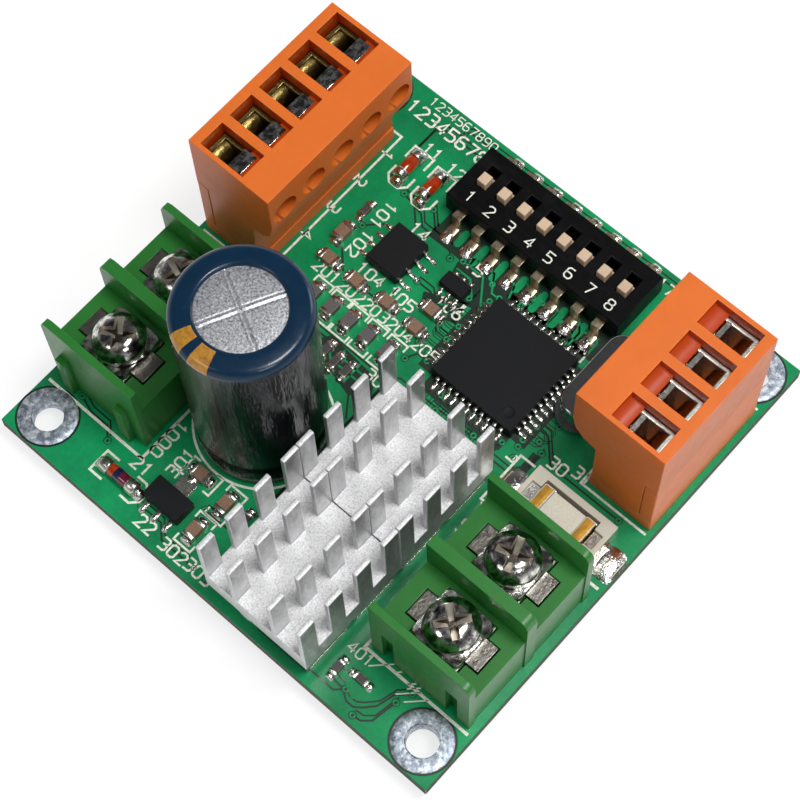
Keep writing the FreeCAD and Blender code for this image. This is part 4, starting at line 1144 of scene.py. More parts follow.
def chip_ends():
    """The tinned ends of the chip parts, with solder drawn up to them and their pads."""
    form = Form()
    for box_low, box_high in node_solids("chip_components"):
        size = box_high - box_low
        long_axis = 0 if size.x > size.y else 1
        cap = 0.2 * size[long_axis]
        for side in (-1, 1):
            low, high = box_low.copy(), box_high.copy()
            if side < 0:
                high[long_axis] = low[long_axis] + cap
            else:
                low[long_axis] = high[long_axis] - cap
            form.box(low - Vector((0.025, 0.025, 0)), high + Vector((0.025, 0.025, 0.025)), 0)
            heap_low, heap_high = low.copy(), high.copy()
            heap_low[1 - long_axis] -= 0.08
            heap_high[1 - long_axis] += 0.08
            if side < 0:
                heap_high[long_axis] = low[long_axis] + 0.08
                heap_low[long_axis] = low[long_axis] - 0.62
            else:
                heap_low[long_axis] = high[long_axis] - 0.08
                heap_high[long_axis] = high[long_axis] + 0.62
            form.mound(heap_low, heap_high, HEAP_FOOT, TOP + size.z * 0.62, 1)
    form.round_edges(0.06, 2, 60, lambda place: place.z > TOP + 0.2)
    form.jitter(0.02, 5, lambda place: place.z > TOP + 0.03)
    form.piece("chip_ends", "board", [shared("tin"), shared("solder")], sharp=70, slot="tinned_metal")


def under_solder():
    """Solder cones on the leads that come through the board, and their pads, underneath."""
    form = Form()
    tails = node_solids("header_pins") + node_solids("terminal_contacts")
    round_leads = node_solids("capacitor_bung") + node_solids("crystal")
    tails += [solid for solid in round_leads if solid[0].z < UNDER]
    for low, high in tails:
        centre = middle(low, high).xy
        spans = [Vector((centre.x, centre.y))]
        reach = min(high.x - low.x, 1.4) / 2
        if high.y - low.y > 3:
            leg = 0.4
            spans = [Vector((centre.x, low.y + leg)), Vector((centre.x, high.y - leg))]
            reach = 0.6
        for place in spans:
            profile = [(reach + 0.75, UNDER + 0.005), (reach + 0.7, UNDER - 0.06),
                       (reach + 0.32, UNDER - 0.35), (reach * 0.9 + 0.1, UNDER - 0.95),
                       (reach * 0.6, UNDER - 1.3), (0.05, UNDER - 1.36)]
            form.lathe(profile, (place.x, place.y, 0), 20)
    form.jitter(0.02, 3, lambda place: place.z < UNDER - 0.1)
    form.piece("under_solder", "board", [shared("solder")], sharp=80, slot="tinned_metal")


# Pluggable terminals

def clamp_jaw(node, inward, skin):
    """The curved jaw inside a cage, which leads the wire under the clamp."""
    low, high = node_box(node)
    wall, reach = 0.48, 1.35
    outer = low.y if inward > 0 else high.y
    form = Form()
    loops = []
    for step in range(9):
        angle = math.pi / 2 * step / 8
        y = outer + inward * (wall + reach * math.sin(angle))
        level = high.z - 0.35 - 1.9 * (1 - math.cos(angle))
        x_low, x_high = low.x + 0.5, high.x - 0.5
        loops.append([(x_low, y, high.z - 2.6), (x_high, y, high.z - 2.6), (x_high, y, level),
                      ((x_low + x_high) / 2, y, level + 0.12), (x_low, y, level)])
    form.loft(loops)
    form.piece(node.replace("clamp_cage", "brass_jaw"), body_for(node), [skin], slot="clamp_metal")


def contact_lips(name, inward):
    """The bent tops of the contact plates, which lie on the ledges of the wire mouths."""
    outer = node_box(f"{name}_plug_housing")[0 if inward > 0 else 1].y
    form = Form()
    for low, high in node_solids(f"{name}_plug_contacts"):
        start, end = sorted((outer + inward * 4.2, outer + inward * 5.75))
        form.box((low.x - 0.2, start, high.z + 0.2), (high.x + 0.2, end, high.z + 0.36))
    form.round_edges(0.05, 2, 60)
    form.piece(f"{name}_contact_lips", f"{name}_plug", [shared("bright")], slot="tinned_metal")


def slotted_screw(node, inward, width):
    """A clamp screw with a rounded rim, whose shank is drawn in to clear the sides of its cage."""
    low, high = node_box(node)
    axis = middle(low, high)
    crest = high.y if inward > 0 else low.y
    form = node_form(node)
    for vertex in form.bm.verts:
        out = Vector((vertex.co.x - axis.x, vertex.co.z - axis.z))
        if abs(vertex.co.y - crest) > 0.6 and 0.9 < out.length < 1.05:
            vertex.co.x, vertex.co.z = axis.x + out.x * 0.95, axis.z + out.y * 0.95
    form.round_edges(width, 2, 35, lambda place: abs(place.y - crest) < 0.05)
    form.piece(node.replace("clamp_screw", "slotted_screw"), body_for(node), [shared("steel")], (node,))


def plugs(sizes):
    plastic, metal = sizes.plastic_round / MM, sizes.metal_round / MM
    soften("plug_headers", "header_shells", [shared("plug")], plastic, 2)
    soften("header_pins", "square_pins", [shared("tin")], metal * 1.5, 2)
    for name in ("signal", "sensor"):
        housing = f"{name}_plug_housing"
        low, high = node_box(housing)

        def in_mouth(centre, normal, low=low, high=high):
            """The walls and ledges of the wire mouths, a little way down from the top, which get painted
            shade.
            """
            inside = (low.x + 0.4 < centre.x < high.x - 0.4 and low.y + 0.4 < centre.y < high.y - 0.4
                      and high.z - 4.5 < centre.z < high.z - 0.05)
            return inside and max(abs(part) for part in normal) > 0.99

        soften(housing, f"{name}_plug_shell", [shared("plug"), shared("mouth")], plastic * 0.55, 2, 50,
               lambda place, low=low, high=high: place.z > high.z - 0.01
               or min(place.x - low.x, high.x - place.x) < 0.01, [(in_mouth, 1)])
        soften(f"{name}_plug_contacts", f"{name}_contact_plates", [shared("tin")], metal, 1)
        if name == "signal":
            contact_lips(name, 1 if low.y < 0 else -1)
        for node in sorted(frame["nodes"]):
            if node.startswith(f"{name}_clamp_cage"):
                # The sensor jaws carry a painted reflection of the orange plastic in their colour.
                frame_skin, jaw_skin = ("jaw", "jaw") if name == "signal" else ("nickel", "copper_jaw")
                crest = node_box(node)[1].z
                soften(node, node.replace("clamp_cage", "wire_cage"), [shared(frame_skin)], 0.13, 3,
                       test=lambda place, crest=crest: place.z > crest - 0.05)
                clamp_jaw(node, 1 if low.y < 0 else -1, shared(jaw_skin))
            if node.startswith(f"{name}_clamp_screw"):
                slotted_screw(node, 1 if low.y < 0 else -1, metal * 1.3)


# Barrier terminals

def barrier_shells(sizes):
    for name in ("motor", "power"):
        node = f"{name}_terminal_housing"
        soften(node, f"{name}_barrier_block", [shared("barrier")], sizes.plastic_round / MM * 2.4, 4, 40,
               lambda place: place.z > TOP + 6.5 or place.z < TOP + 0.01)
    # The terminal strips get a darker tin than the other metal: painted shade, as they lie down in the
    # housing's slots.
    strip = metal_finish("strip_tin", "96928A", 0.3, 0.3, 0.05, 0.9)
    soften("terminal_contacts", "terminal_strips", [strip], sizes.metal_round / MM, 2)


def washer_piece(node):
    """A square washer with rounded corners and a rolled edge, a little dished."""
    low, high = node_box(node)
    centre = middle(low, high)
    half = (high.x - low.x) / 2
    hole = 1.5
    form = Form()
    steps = 64

    def rounded(angle, size, corner):
        """A square with round corners, as the distance from its middle in a direction."""
        x, y = math.cos(angle), math.sin(angle)
        return Vector((x, y)) * size / (abs(x) ** corner + abs(y) ** corner) ** (1 / corner)

    section = [(0, low.z), (1, low.z), (1, low.z + 0.14), (1, high.z - 0.16), (0.94, high.z),
               (0.72, high.z - 0.03), (0, high.z - 0.06)]
    rows = []
    for part, level in section:
        loop = []
        for step in range(steps):
            angle = math.tau * step / steps
            outer = rounded(angle, half, 9)
            inner = heading(angle) * hole
            point = inner.lerp(outer, part)
            loop.append((centre.x + point.x, centre.y + point.y, level))
        rows.append(loop)
    form.loft(rows, endless=True)
    form.piece(node.replace("washer", "square_washer"), body_for(node), [shared("steel")], (node,))


def screw_head_mesh(node):
    """A pan-head screw: domed head and a threaded shank; its cross recess is cut afterwards."""
    low, high = node_box(node)
    centre = middle(low, high)
    radius = (high.x - low.x) / 2
    seat = high.z - HEAD_HIGH
    profile = [(0.02, low.z), (0.9, low.z), (1.15, low.z + 0.35)]
    turns = 13
    pitch = (seat - low.z - 0.5) / turns
    for turn in range(turns):
        start = low.z + 0.4 + pitch * turn
        profile += [(1.16, start), (1.44, start + pitch * 0.5)]
    profile += [(1.16, seat - 0.05), (radius * 0.9, seat), (radius, seat + 0.12), (radius, seat + RIM_HIGH)]
    dome = 12
    for step in range(1, dome + 1):
        angle = math.pi / 2 * step / dome
        reach = radius * (DOME_FLAT + DOME_WIDE * math.cos(angle))
        profile.append((reach, seat + RIM_HIGH + DOME_HIGH * math.sin(angle) ** DOME_POWER))
    profile.append((0.02, high.z))
    form = Form()
    form.lathe(profile, (centre.x, centre.y, 0), 56)
    return form, centre, high.z


def cross_cutter(centre, top, turn):
    """The punch of the cross recess: four tapered wings that run down to a point."""
    form = Form()
    for quarter in range(4):
        angle = math.radians(turn + 90 * quarter)
        along = Vector((math.cos(angle), math.sin(angle), 0))
        across = Vector((-along.y, along.x, 0))
        base = Vector((centre.x, centre.y, 0))
        loops = []
        for rise, reach, half in ((0.3, 2.02, 0.52), (-0.35, 1.72, 0.46), (-0.6, 1.5, 0.42),
                                  (-1.5, 0.42, 0.3)):
            lift = Vector((0, 0, top + rise))
            loops.append([base + along * -0.12 + across * half + lift,
                          base + along * -0.12 - across * half + lift,
                          base + along * reach - across * half * 0.8 + lift,
                          base + along * reach + across * half * 0.8 + lift])
        form.loft(loops)
    return form.thing("cross_punch")


def barrier_screw(node, turn):
    form, centre, top = screw_head_mesh(node)
    screw = form.piece(node.replace("_screw_", "_pan_screw_"), body_for(node), [shared("steel")], (node,),
                       sharp=32, even=False)
    cutter = cross_cutter(centre, top, turn)
    modifier = screw.modifiers.new("recess", "BOOLEAN")
    modifier.operation = "DIFFERENCE"
    modifier.solver = "EXACT"
    modifier.use_self = True
    modifier.object = cutter
    bpy.context.view_layer.update()
    shape = screw.evaluated_get(bpy.context.evaluated_depsgraph_get())
    pressed = bpy.data.meshes.new_from_object(shape)
    screw.modifiers.remove(modifier)
    screw.data = pressed
    pressed.set_sharp_from_angle(angle=math.radians(32))
    bpy.data.objects.remove(cutter)
    radius = (screw.dimensions.x / MM) / 2
    pressed.materials.append(shared("facet"))
    pressed.materials.append(shared("hollow"))
    # Painted light in the cross recess: pale wall facets for highlight, dark faces near the middle for
    # shade.
    for face in pressed.polygons:
        place = face.center / MM
        out = math.hypot(place.x - centre.x, place.y - centre.y)
        angle = math.acos(min(1.0, max(0.0, (out / radius - DOME_FLAT) / DOME_WIDE)))
        dome = top - DOME_HIGH * (1 - math.sin(angle) ** DOME_POWER)
        if place.z > top - 1.7 and out < 2.0 and place.z < dome - 0.06:
            face.material_index = 2 if out < 0.8 else 1


# Capacitor

def capacitor(colours, sizes):
    low, high = node_box("capacitor_sleeve")
    centre = middle(low, high)
    radius = (high.x - low.x) / 2
    mouth = 4.18
    profile = [(radius - 0.5, low.z), (radius - 0.12, low.z + 0.06), (radius - 0.02, low.z + 0.5),
               (radius - 0.02, low.z + 2.4), (radius - 0.2, low.z + 2.9), (radius - 0.34, low.z + 3.3),
               (radius - 0.2, low.z + 3.7), (radius, low.z + 4.2), (radius, low.z + 12),
               (radius, high.z - 1.1)]
    shoulder = 8
    for step in range(1, shoulder + 1):
        angle = math.pi / 2 * step / shoulder
        profile.append((radius - SHOULDER * (1 - math.cos(angle)),
                        high.z - SHOULDER_DROP + SHOULDER * math.sin(angle)))
    profile += [(radius - 1.4, high.z - 0.02), (mouth + 0.3, high.z), (mouth + 0.08, high.z - 0.05),
                (mouth, high.z - 0.16), (mouth, high.z - 1.6)]
    form = Form()
    form.lathe(profile, (centre.x, centre.y, 0), 128)
    form.paint(lambda place, normal: place.z > high.z - 1.15, 1)
    form.piece("shrunk_sleeve", "board", [sleeve_side_finish(colours), sleeve_top_finish(colours)],
               ("capacitor_sleeve",), None, 50)
    polarity_marks(centre, radius, high.z)
    vented_top(centre, mouth + 0.15, high.z - 0.3, sizes.vent_deep / MM)
    rubber = Form()
    rubber.lathe([(0.02, low.z), (radius - 0.9, low.z), (radius - 0.8, low.z + 0.3),
                  (radius - 0.8, low.z + 2.6), (0.02, low.z + 2.6)], (centre.x, centre.y, 0), 64)
    for solid_low, solid_high in node_solids("capacitor_bung"):
        if solid_low.z < UNDER:
            place = middle(solid_low, solid_high)
            rubber.lathe([(0.02, solid_low.z), (0.36, solid_low.z + 0.05), (0.4, solid_low.z + 0.3),
                          (0.4, low.z + 1)], (place.x, place.y, 0), 20, 1)
    rubber.piece("rubber_bung", "board", [rubber_finish(), shared("tin")], ("capacitor_bung",))


def polarity_marks(centre, radius, top):
    """Two tan bands that run over the shoulder onto the top, and a dark stripe down the side."""
    form = Form()
    for start, end in ((152, 168), (177, 196)):
        loops = []
        for step in range(9):
            angle = math.radians(start + (end - start) * step / 8)
            way = Vector((math.cos(angle), math.sin(angle), 0))
            loop = []
            for step_down in range(9):
                turn = math.pi / 2 * step_down / 8
                reach = radius - SHOULDER * (1 - math.cos(turn)) + 0.003
                level = top - SHOULDER_DROP + SHOULDER * math.sin(turn)
                loop.append(Vector((centre.x, centre.y, level)) + way * reach)
            for reach, level in ((radius - 1.4, top - 0.008), (4.5, top)):
                loop.append(Vector((centre.x, centre.y, level)) + way * reach)
            loops.append(loop)
        form.loft(loops, closed=False, caps=False)
    ink = Finish("band_ink", settings()[0].band, 0.35, Coat_Weight=0.4)
    worn = ink.ramp(ink.noise(0.4, 3.0, 0.7), (0.3, (0.5, 0.5, 0.5)), (0.55, (1.0, 1.0, 1.0)))
    ink.set("Base Color", ink.mix(1.0, settings()[0].band, worn, "MULTIPLY"))
    form.piece("polarity_bands", "board", [ink.material], even=False, slot="sleeve_film")
    stripe = Form()
    loops = []
    for step in range(17):
        angle = math.radians(150 + 48 * step / 16)
        way = Vector((math.cos(angle), math.sin(angle), 0)) * (radius + 0.004)
        loops.append([Vector((centre.x, centre.y, level)) + way
                      for level in (top - 21.3, top - 12, top - 1.1)])
    stripe.loft(loops, closed=False, caps=False)
    film = Finish("stripe_film", colour("2A241D"), 0.24, Coat_Weight=0.1, Specular_IOR_Level=0.35)
    wrinkle = film.noise(1.0, 3.0, 0.65, (1, 1, 9))
    film.set("Base Color", film.mix(wrinkle, colour("2C261F"), colour("14110E")))
    film.relief(wrinkle, 0.2, 0.7)
    stripe.piece("polarity_stripe", "board", [film.material], even=False, slot="sleeve_film")


def vented_top(centre, reach, level, deep):
    """The can's pressed top: a shallow dish crossed by a raised vent line and a sunken one."""
    form = Form()
    cells = 110
    step = 2 * reach / cells
    creases = [(math.radians(-27), -0.55, 0.16), (math.radians(63), 1.0, 0.13)]
    grid = {}
    for column in range(cells + 1):
        for line in range(cells + 1):
            x, y = -reach + column * step, -reach + line * step
            if math.hypot(x, y) > reach:
                continue
            drop = 0.0
            for angle, sign, half in creases:
                off = abs(-x * math.sin(angle) + y * math.cos(angle))
                along = abs(x * math.cos(angle) + y * math.sin(angle))
                groove = max(0.0, 1 - off / half)
                lip = math.exp(-((off - half - 0.1) / 0.09) ** 2)
                fade = min(1.0, max(0.0, (reach * 0.98 - along) / 0.5))
                drop += deep * fade * (sign * groove ** 0.8 + sign * -0.45 * lip)
            height = level - drop - 0.12 * (math.hypot(x, y) / reach) ** 4
            grid[column, line] = form.bm.verts.new((centre.x + x, centre.y + y, height))
    for column in range(cells):
        for line in range(cells):
            keys = [(column, line), (column + 1, line), (column + 1, line + 1), (column, line + 1)]
            if all(key in grid for key in keys):
                form.bm.faces.new([grid[key] for key in keys])
    form.lathe([(reach + 0.3, level - 24), (reach + 0.5, level - 23.9), (reach + 0.5, level - 0.4),
                (reach - 0.1, level - 0.2)], (centre.x, centre.y, 0), 64)
    form.piece("pressed_can", "board", [can_finish()], ("capacitor_can",), None, 60)


# Heat sinks and the power stage under them

def heat_sinks(colours, sizes):
    skins = [frosted_finish(colours), sawn_finish(colours)]
    soften("heat_sinks", "pin_fin_sinks", skins, sizes.metal_round / MM * 1.4, 2, 60,
           paint=[(lambda centre, normal: abs(normal.z) < 0.5, 1)])
    soften("thermal_pads", "grey_pads", [ceramic_finish("thermal_pad", "6A6E72", "8E9296")], 0.06, 2)
    gloss = Finish("transistor_black", colour("0C0C0E"), 0.2, Coat_Weight=0.3)
    gloss.set("Roughness", 0.14 + 0.2 * gloss.noise(0.8))
    gloss.set("Base Color", gloss.mix(gloss.noise(0.5), colour("0A0A0C"), colour("17171A")))
    gloss.relief(gloss.noise(0.15), 0.01, 0.5)
    soften("power_transistors", "transistor_bodies", [gloss.material], 0.12, 2)


# DIP switch

def dip_switch(colours, sizes):
    black = switch_finish(colours)
    soften("dip_switch_housing", "switch_body", [black], 0.11, 2, 50,
           lambda place: place.z > TOP + 3.5 or place.z < TOP + 0.6)
    soften("dip_switch_contacts", "switch_leads", [shared("lead")], sizes.metal_round / MM, 2)
    slider = plastic_finish("slider_tan", colours.slider, 0.45, 0.2, 0.3)
    body_low, body_high = node_box("dip_switch_housing")
    form = Form()
    for number in range(1, 9):
        node = f"dip_slider_{number}"
        soften(node, node.replace("dip_", "switch_"), [slider], 0.1, 2)
        low, high = node_box(node)
        y = middle(low, high).y
        place = (body_low.x + 1.25, y)
        write_number(form, 9 - number, place, 1.15, -90, 0.15, body_high.z - 0.01, body_high.z + 0.02)
    form.piece("switch_numbers", "board", [shared("silk")], even=False, slot="switch_black")


# Packages and their leads

def packages(sizes):
    soften("microcontroller", "quad_package", [shared("package")], 0.1, 2)
    soften("small_ics", "small_packages", [shared("package")], 0.09, 2)
    soften("ic_leads", "package_leads", [shared("tin")], sizes.metal_round / MM * 0.8, 2)


def chip_parts():
    """Ceramic bodies: brown, grey and dark blocks, one finish for each kind."""
    form = node_form("chip_components")
    solids = node_solids("chip_components")

    def kind(centre):
        for low, high in solids:
            if all(low[axis] - 0.01 <= centre[axis] <= high[axis] + 0.01 for axis in range(3)):
                along_x = high.x - low.x > high.y - low.y
                near_capacitor = along_x and BEAD_COLUMN[0] < middle(low, high).x < BEAD_COLUMN[1]
                if near_capacitor:
                    return 1
                return 2 if high.z - low.z < 0.6 else 0
        return 0

    for face in form.bm.faces:
        face.material_index = kind(face.calc_center_median())
    form.round_edges(0.05, 2)
    finishes = [ceramic_finish("brown_ceramic", "8A6A50", "5B4232"),
                ceramic_finish("grey_ferrite", "5E5B5C", "3E3B3D"),
                ceramic_finish("dark_resistor", "2A2728", "4A4648")]
    form.piece("chip_bodies", "board", finishes, ("chip_components",))


def crystal():
    soften("crystal", "crystal_can", [metal_finish("crystal_steel", "B4B4B2", 0.14, 0.35, 0.02, 0.3)],
           0.35, 4, 50, lambda place: place.z > TOP + 3.5)


def diodes(colours):
    """Glass beads with domed tinned ends; the rear one is banded."""
    glass, ends = Form(), Form()
    for low, high in node_solids("glass_diodes"):
        size = high - low
        axis = "x" if size.x > size.y else "y"
        centre = middle(low, high)
        long = max(size.x, size.y)
        half = long / 2
        radius = size.z / 2
        banded = long > 4
        cap = 0.85 if not banded else 1.1
        inner = half - cap
        place = (centre.x, centre.y, centre.z)
        marks = (-inner, -inner * 0.2, inner * 0.35, inner) if banded else (-inner, inner)
        skins = (2, 1, 0) if banded else (0,)
        for start, end, skin in zip(marks, marks[1:], skins):
            steps = [start + (end - start) * part / 5 for part in range(6)]
            profile = [(radius * (0.9 - 0.1 * abs((step + inner) / inner - 1) ** 3), step)
                       for step in steps]
            glass.lathe(profile, place, 32, skin, axis)
        for side in (-1, 1):
            profile = [(radius * 0.78, inner - 0.08), (radius * 0.97, inner), (radius, inner + 0.12),
                       (radius, half - 0.2), (radius * 0.9, half - 0.05), (radius * 0.7, half), (0.03, half)]
            profile = [(reach, side * level) for reach, level in profile]
            ends.lathe(profile, place, 32, 0, axis)
            heap_centre = centre.xy + (Vector((side, 0)) if axis == "x" else Vector((0, side))) * half
            corner = Vector((0.75, 0.75))
            ends.mound(heap_centre - corner, heap_centre + corner, HEAP_FOOT, TOP + 0.75, 1)
    finishes = [glass_finish("amber_glass", colours.diode, "5E1204"),
                glass_finish("blue_band", colour("1A2148"), "0D1026"),
                glass_finish("plum_glass", colour("6E1030"), "3A0A24")]
    glass.piece("diode_glass", "board", finishes, ("glass_diodes",), sharp=60)
    ends.jitter(0.012, 21)
    ends.piece("diode_ends", "board", [shared("tin"), shared("solder")], sharp=70, slot="tinned_metal")


def fuse_and_holder(colours):
    cream = plastic_finish("holder_cream", colours.holder, 0.5, 0.15, 0.4)
    form = node_form("fuse_holder")
    clips = [solid for solid in node_solids("fuse_holder") if solid[1].x - solid[0].x < 4]
    shell_low, shell_high = max(node_solids("fuse_holder"), key=lambda solid: solid[1].x - solid[0].x)

    def is_clip(centre, normal):
        """Clip faces lie outside the moulding, under it, or on the spring cheeks inside it."""
        outside = centre.y < shell_low.y - 0.01 or centre.y > shell_high.y + 0.01
        return outside or any(
            all(box_low[axis] - 0.005 <= centre[axis] <= box_high[axis] + 0.005 for axis in range(3))
            and centre.z < shell_high.z - 0.05 for box_low, box_high in clips)

    form.paint(is_clip, 1)
    form.round_edges(0.09, 2, 50)
    form.piece("fuse_cradle", "board", [cream, shared("tin")], ("fuse_holder",))
    pads = Form()
    for box_low, box_high in clips:
        outer = box_low.y if box_low.y < shell_low.y - 0.1 else box_high.y
        side = -1 if outer < shell_low.y else 1
        inner = shell_low.y if side < 0 else shell_high.y
        y_low, y_high = sorted((inner - side * 0.2, outer + side * 0.25))
        pads.mound((box_low.x - 0.2, y_low), (box_high.x + 0.2, y_high), HEAP_FOOT, TOP + 0.4)
    pads.piece("fuse_solder", "board", [shared("solder")], sharp=80, slot="tinned_metal")
    cartridge = node_form("fuse")
    tube_low, tube_high = node_box("fuse")
    cartridge.paint(lambda centre, normal: min(centre.y - tube_low.y, tube_high.y - centre.y) < 1.16, 1)
    cartridge.round_edges(0.12, 2, 50)
    gold = metal_finish("cap_gilt", "B98C3A", 0.36, 0.3, 0.03, 0.3)
    tube = ceramic_finish("fuse_ceramic", "CFCBBC", "B4AE9C")
    cartridge.piece("fuse_cartridge", "fuse", [tube, gold], ("fuse",))


# Stage

FLOOR_REACH = 900
FLOOR_GLOW = 0.72

# The camera: degrees round and above the module and its roll, the place it looks at, and its lens in
# millimetres at a distance.
AROUND, ABOVE, ROLL = -45.28, 67.35, -3.21
LOOKED_AT = Vector((-2.96, -2.74, 10))
SENSOR_WIDE = 36
LENS, LENS_AWAY = 101.3, 207.6


def area_light(name, place, aim, size, power):
    """A square lamp of a size in metres, turned towards a place."""
    lamp = bpy.data.lights.new(name, "AREA")
    lamp.energy = power
    lamp.shape = "RECTANGLE"
    lamp.size = size
    lamp.size_y = size
    item = bpy.data.objects.new(name, lamp)
    item.location = place
    item.rotation_euler = (Vector(aim) - Vector(place)).to_track_quat("-Z", "Y").to_euler()
    bpy.context.collection.objects.link(item)


def stage_world():
    """A white backdrop all round, which camera, metal and glass see, under a dim ceiling."""
    world = bpy.data.worlds.new("studio")
    world.use_nodes = True
    bpy.context.scene.world = world
    studio = Shading(world.node_tree)
    background = world.node_tree.nodes["Background"]
    way = studio.node("ShaderNodeTexCoord", out="Generated")
    up = studio.node("ShaderNodeSeparateXYZ", {}, {0: way}, 2) * 0.5 + 0.5
    straight = (studio.seen_by("Camera") + studio.seen_by("Transmission")).clipped()
    room = studio.ramp(up, (0.0, (1.0, 1.0, 1.0)), (0.53, (1.0, 1.0, 1.0)), (0.64, (0.5, 0.5, 0.5)),
                       (0.76, (0.12, 0.12, 0.12)), (0.9, (0.05, 0.05, 0.055)), (1.0, (0.1, 0.1, 0.1)))
    soft = studio.ramp(up, (0.45, (0.1, 0.1, 0.1)), (0.7, (0.16, 0.16, 0.16)), (1.0, (0.85, 0.85, 0.85)))
    tone = studio.mix(studio.seen_by("Glossy"), soft, room)
    studio.put(background.inputs["Color"], studio.mix(straight, tone, (1.0, 1.0, 1.0, 1.0)))
    background.inputs["Strength"].default_value = 1.0


def stage_floor():
    """A pale floor just under the part, which glows where the backdrop would show."""
    level = CAD_BOX[0].z / MM - 0.02
    form = Form()
    flat(form, [(-FLOOR_REACH, -FLOOR_REACH), (FLOOR_REACH, -FLOOR_REACH),
                (FLOOR_REACH, FLOOR_REACH), (-FLOOR_REACH, FLOOR_REACH)], level)
    floor = form.thing("studio_floor", outward=False)
    finish = Finish("pale_floor", colour("F4F4F4"), 0.7)
    finish.set("Base Color", finish.mix(finish.noise(60.0), colour("F6F6F6"), colour("F1F1F1")))
    straight = finish.seen_by("Camera") + finish.seen_by("Glossy") + finish.seen_by("Transmission")
    glow = finish.node("ShaderNodeEmission", {}, {"Color": (1.0, 1.0, 1.0, 1.0), "Strength": 1.0})
    out = finish.tree.nodes["Material Output"]
    body = Tone(finish.tree, finish.shader.outputs[0])
    share = straight.clipped() * FLOOR_GLOW
    blended = finish.node("ShaderNodeMixShader", {}, {0: share, 1: body, 2: glow})
    finish.put(out.inputs["Surface"], blended)
    floor.data.materials.append(finish.material)


def stage_camera(away):
    """Looks down on the module from its near corner side."""
    around, above, roll = (math.radians(angle) for angle in (AROUND, ABOVE, ROLL))
    back = Vector((math.sin(around) * math.cos(above), -math.cos(around) * math.cos(above), math.sin(above)))
    right = Vector((math.cos(around), math.sin(around), 0))
    up = back.cross(right)
    across = right * math.cos(roll) + up * math.sin(roll)
    upright = up * math.cos(roll) - right * math.sin(roll)
    lens = bpy.data.cameras.new("camera")
    lens.sensor_width = SENSOR_WIDE
    lens.lens = LENS * away / MM / LENS_AWAY
    lens.clip_start = 0.005
    camera = bpy.data.objects.new("camera", lens)
    target = LOOKED_AT * MM
    matrix = Matrix((across, upright, back)).transposed().to_4x4()
    matrix.translation = target + back * away
    camera.matrix_world = matrix
    bpy.context.collection.objects.link(camera)
    bpy.context.scene.camera = camera


def stage(sizes):
    bpy.context.scene.view_settings.view_transform = "Standard"
    stage_world()
    stage_floor()
    stage_camera(sizes.camera_away)
    area_light("key_box", (0.06, -0.12, 0.46), (0, 0, 0), 0.13, 1.45)
    area_light("right_box", (0.42, -0.1, 0.2), (0, 0, 0.005), 0.16, 0.4)
    area_light("left_box", (-0.3, 0.1, 0.36), (0, 0, 0.005), 0.12, 0.2)
    area_light("near_box", (-0.05, -0.13, 0.2), (-0.012, -0.012, 0), 0.05, 0.07)


# Operators: one for each piece or group of like pieces, and one for the stage

class MODULE_OT_board(bpy.types.Operator):
    """Make the board with its hole rings, copper gaps and vias"""
    bl_idname = "module.board"
    bl_label = "Circuit Board"

    def execute(self, context):
        colours, sizes = settings()
        board_piece(colours)
        hole_rings(sizes)
        copper_gaps(sizes)
        vias(sizes)
        return {"FINISHED"}


class MODULE_OT_ink(bpy.types.Operator):
    """Print the outlines and the plain numbers on the board"""
    bl_idname = "module.ink"
    bl_label = "Printed Lines"

    def execute(self, context):
        sizes = settings()[1]
        silk_lines(sizes)
        silk_numbers(sizes)
        return {"FINISHED"}


class MODULE_OT_solder(bpy.types.Operator):
    """Put solder on the leads above and below the board"""
    bl_idname = "module.solder"
    bl_label = "Solder"

    def execute(self, context):
        sizes = settings()[1]
        solder_joints(sizes)
        under_solder()
        return {"FINISHED"}


class MODULE_OT_plugs(bpy.types.Operator):
    """Make the pluggable terminals with their headers, cages and screws"""
    bl_idname = "module.plugs"
    bl_label = "Pluggable Terminals"

    def execute(self, context):
        plugs(settings()[1])
        return {"FINISHED"}


class MODULE_OT_barriers(bpy.types.Operator):
    """Make the barrier terminals with their strips, washers and screws"""
    bl_idname = "module.barriers"
    bl_label = "Barrier Terminals"

    def execute(self, context):
        barrier_shells(settings()[1])
        turns = {"motor": (52, 18), "power": (76, 33)}
        for name, angles in turns.items():
            for index, turn in enumerate(angles, start=1):
                washer_piece(f"{name}_washer_{index}")
                barrier_screw(f"{name}_screw_{index}", turn)
        return {"FINISHED"}


class MODULE_OT_capacitor(bpy.types.Operator):
    """Make the capacitor's sleeve, can, vent and bung"""
    bl_idname = "module.capacitor"
    bl_label = "Capacitor"

    def execute(self, context):
        capacitor(*settings())
        return {"FINISHED"}


class MODULE_OT_sinks(bpy.types.Operator):
    """Make the heat sinks and the transistors under them"""
    bl_idname = "module.sinks"
    bl_label = "Heat Sinks"

    def execute(self, context):
        heat_sinks(*settings())
        return {"FINISHED"}


class MODULE_OT_switch(bpy.types.Operator):
    """Make the DIP switch with its sliders and numbers"""
    bl_idname = "module.switch"
    bl_label = "DIP Switch"

    def execute(self, context):
        dip_switch(*settings())
        return {"FINISHED"}


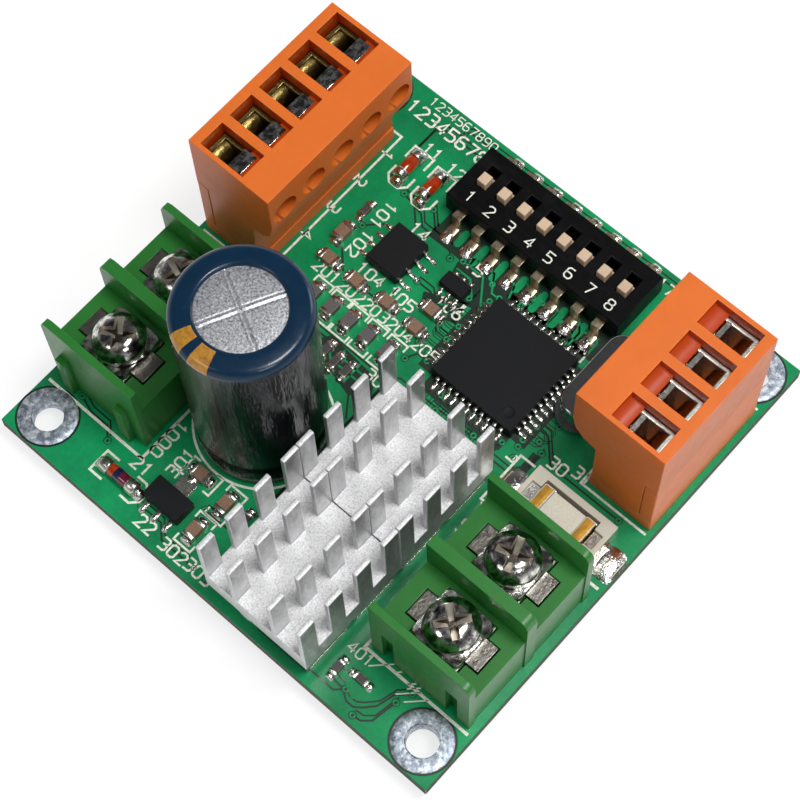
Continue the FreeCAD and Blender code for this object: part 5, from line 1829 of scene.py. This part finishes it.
class MODULE_OT_packages(bpy.types.Operator):
    """Make the chip packages and their leads"""
    bl_idname = "module.packages"
    bl_label = "Packages"

    def execute(self, context):
        packages(settings()[1])
        return {"FINISHED"}


class MODULE_OT_small_parts(bpy.types.Operator):
    """Make the chip parts, the crystal and the glass diodes"""
    bl_idname = "module.small_parts"
    bl_label = "Small Parts"

    def execute(self, context):
        chip_parts()
        chip_ends()
        crystal()
        diodes(settings()[0])
        return {"FINISHED"}


class MODULE_OT_fuse(bpy.types.Operator):
    """Make the fuse, its cradle and its clips"""
    bl_idname = "module.fuse"
    bl_label = "Fuse"

    def execute(self, context):
        fuse_and_holder(settings()[0])
        return {"FINISHED"}


class MODULE_OT_stage(bpy.types.Operator):
    """Set up the floor, the light and the camera"""
    bl_idname = "module.stage"
    bl_label = "Stage"

    def execute(self, context):
        stage(settings()[1])
        return {"FINISHED"}


STEPS = (MODULE_OT_board, MODULE_OT_ink, MODULE_OT_solder, MODULE_OT_plugs, MODULE_OT_barriers,
         MODULE_OT_capacitor, MODULE_OT_sinks, MODULE_OT_switch, MODULE_OT_packages,
         MODULE_OT_small_parts, MODULE_OT_fuse, MODULE_OT_stage)


class MODULE_PT_steps(bpy.types.Panel):
    """Lists the pieces in the order that they are made"""
    bl_idname = "MODULE_PT_steps"
    bl_label = "Driver Module"
    bl_space_type = "VIEW_3D"
    bl_region_type = "UI"
    bl_category = "Driver Module"

    def draw(self, context):
        for group in settings():
            box = self.layout.box()
            for name in group.__annotations__:
                box.prop(group, name)
        for step in STEPS:
            self.layout.operator(step.bl_idname)


CLASSES = (ModuleColours, ModuleSizes, *STEPS, MODULE_PT_steps)


def register():
    for entry in CLASSES:
        bpy.utils.register_class(entry)
    bpy.types.Scene.module_colours = PointerProperty(type=ModuleColours)
    bpy.types.Scene.module_sizes = PointerProperty(type=ModuleSizes)


def unregister():
    del bpy.types.Scene.module_sizes
    del bpy.types.Scene.module_colours
    for entry in reversed(CLASSES):
        bpy.utils.unregister_class(entry)


def main():
    register()
    for step in STEPS:
        group, name = step.bl_idname.split(".")
        getattr(getattr(bpy.ops, group), name)()


if __name__ == "__main__":
    main()
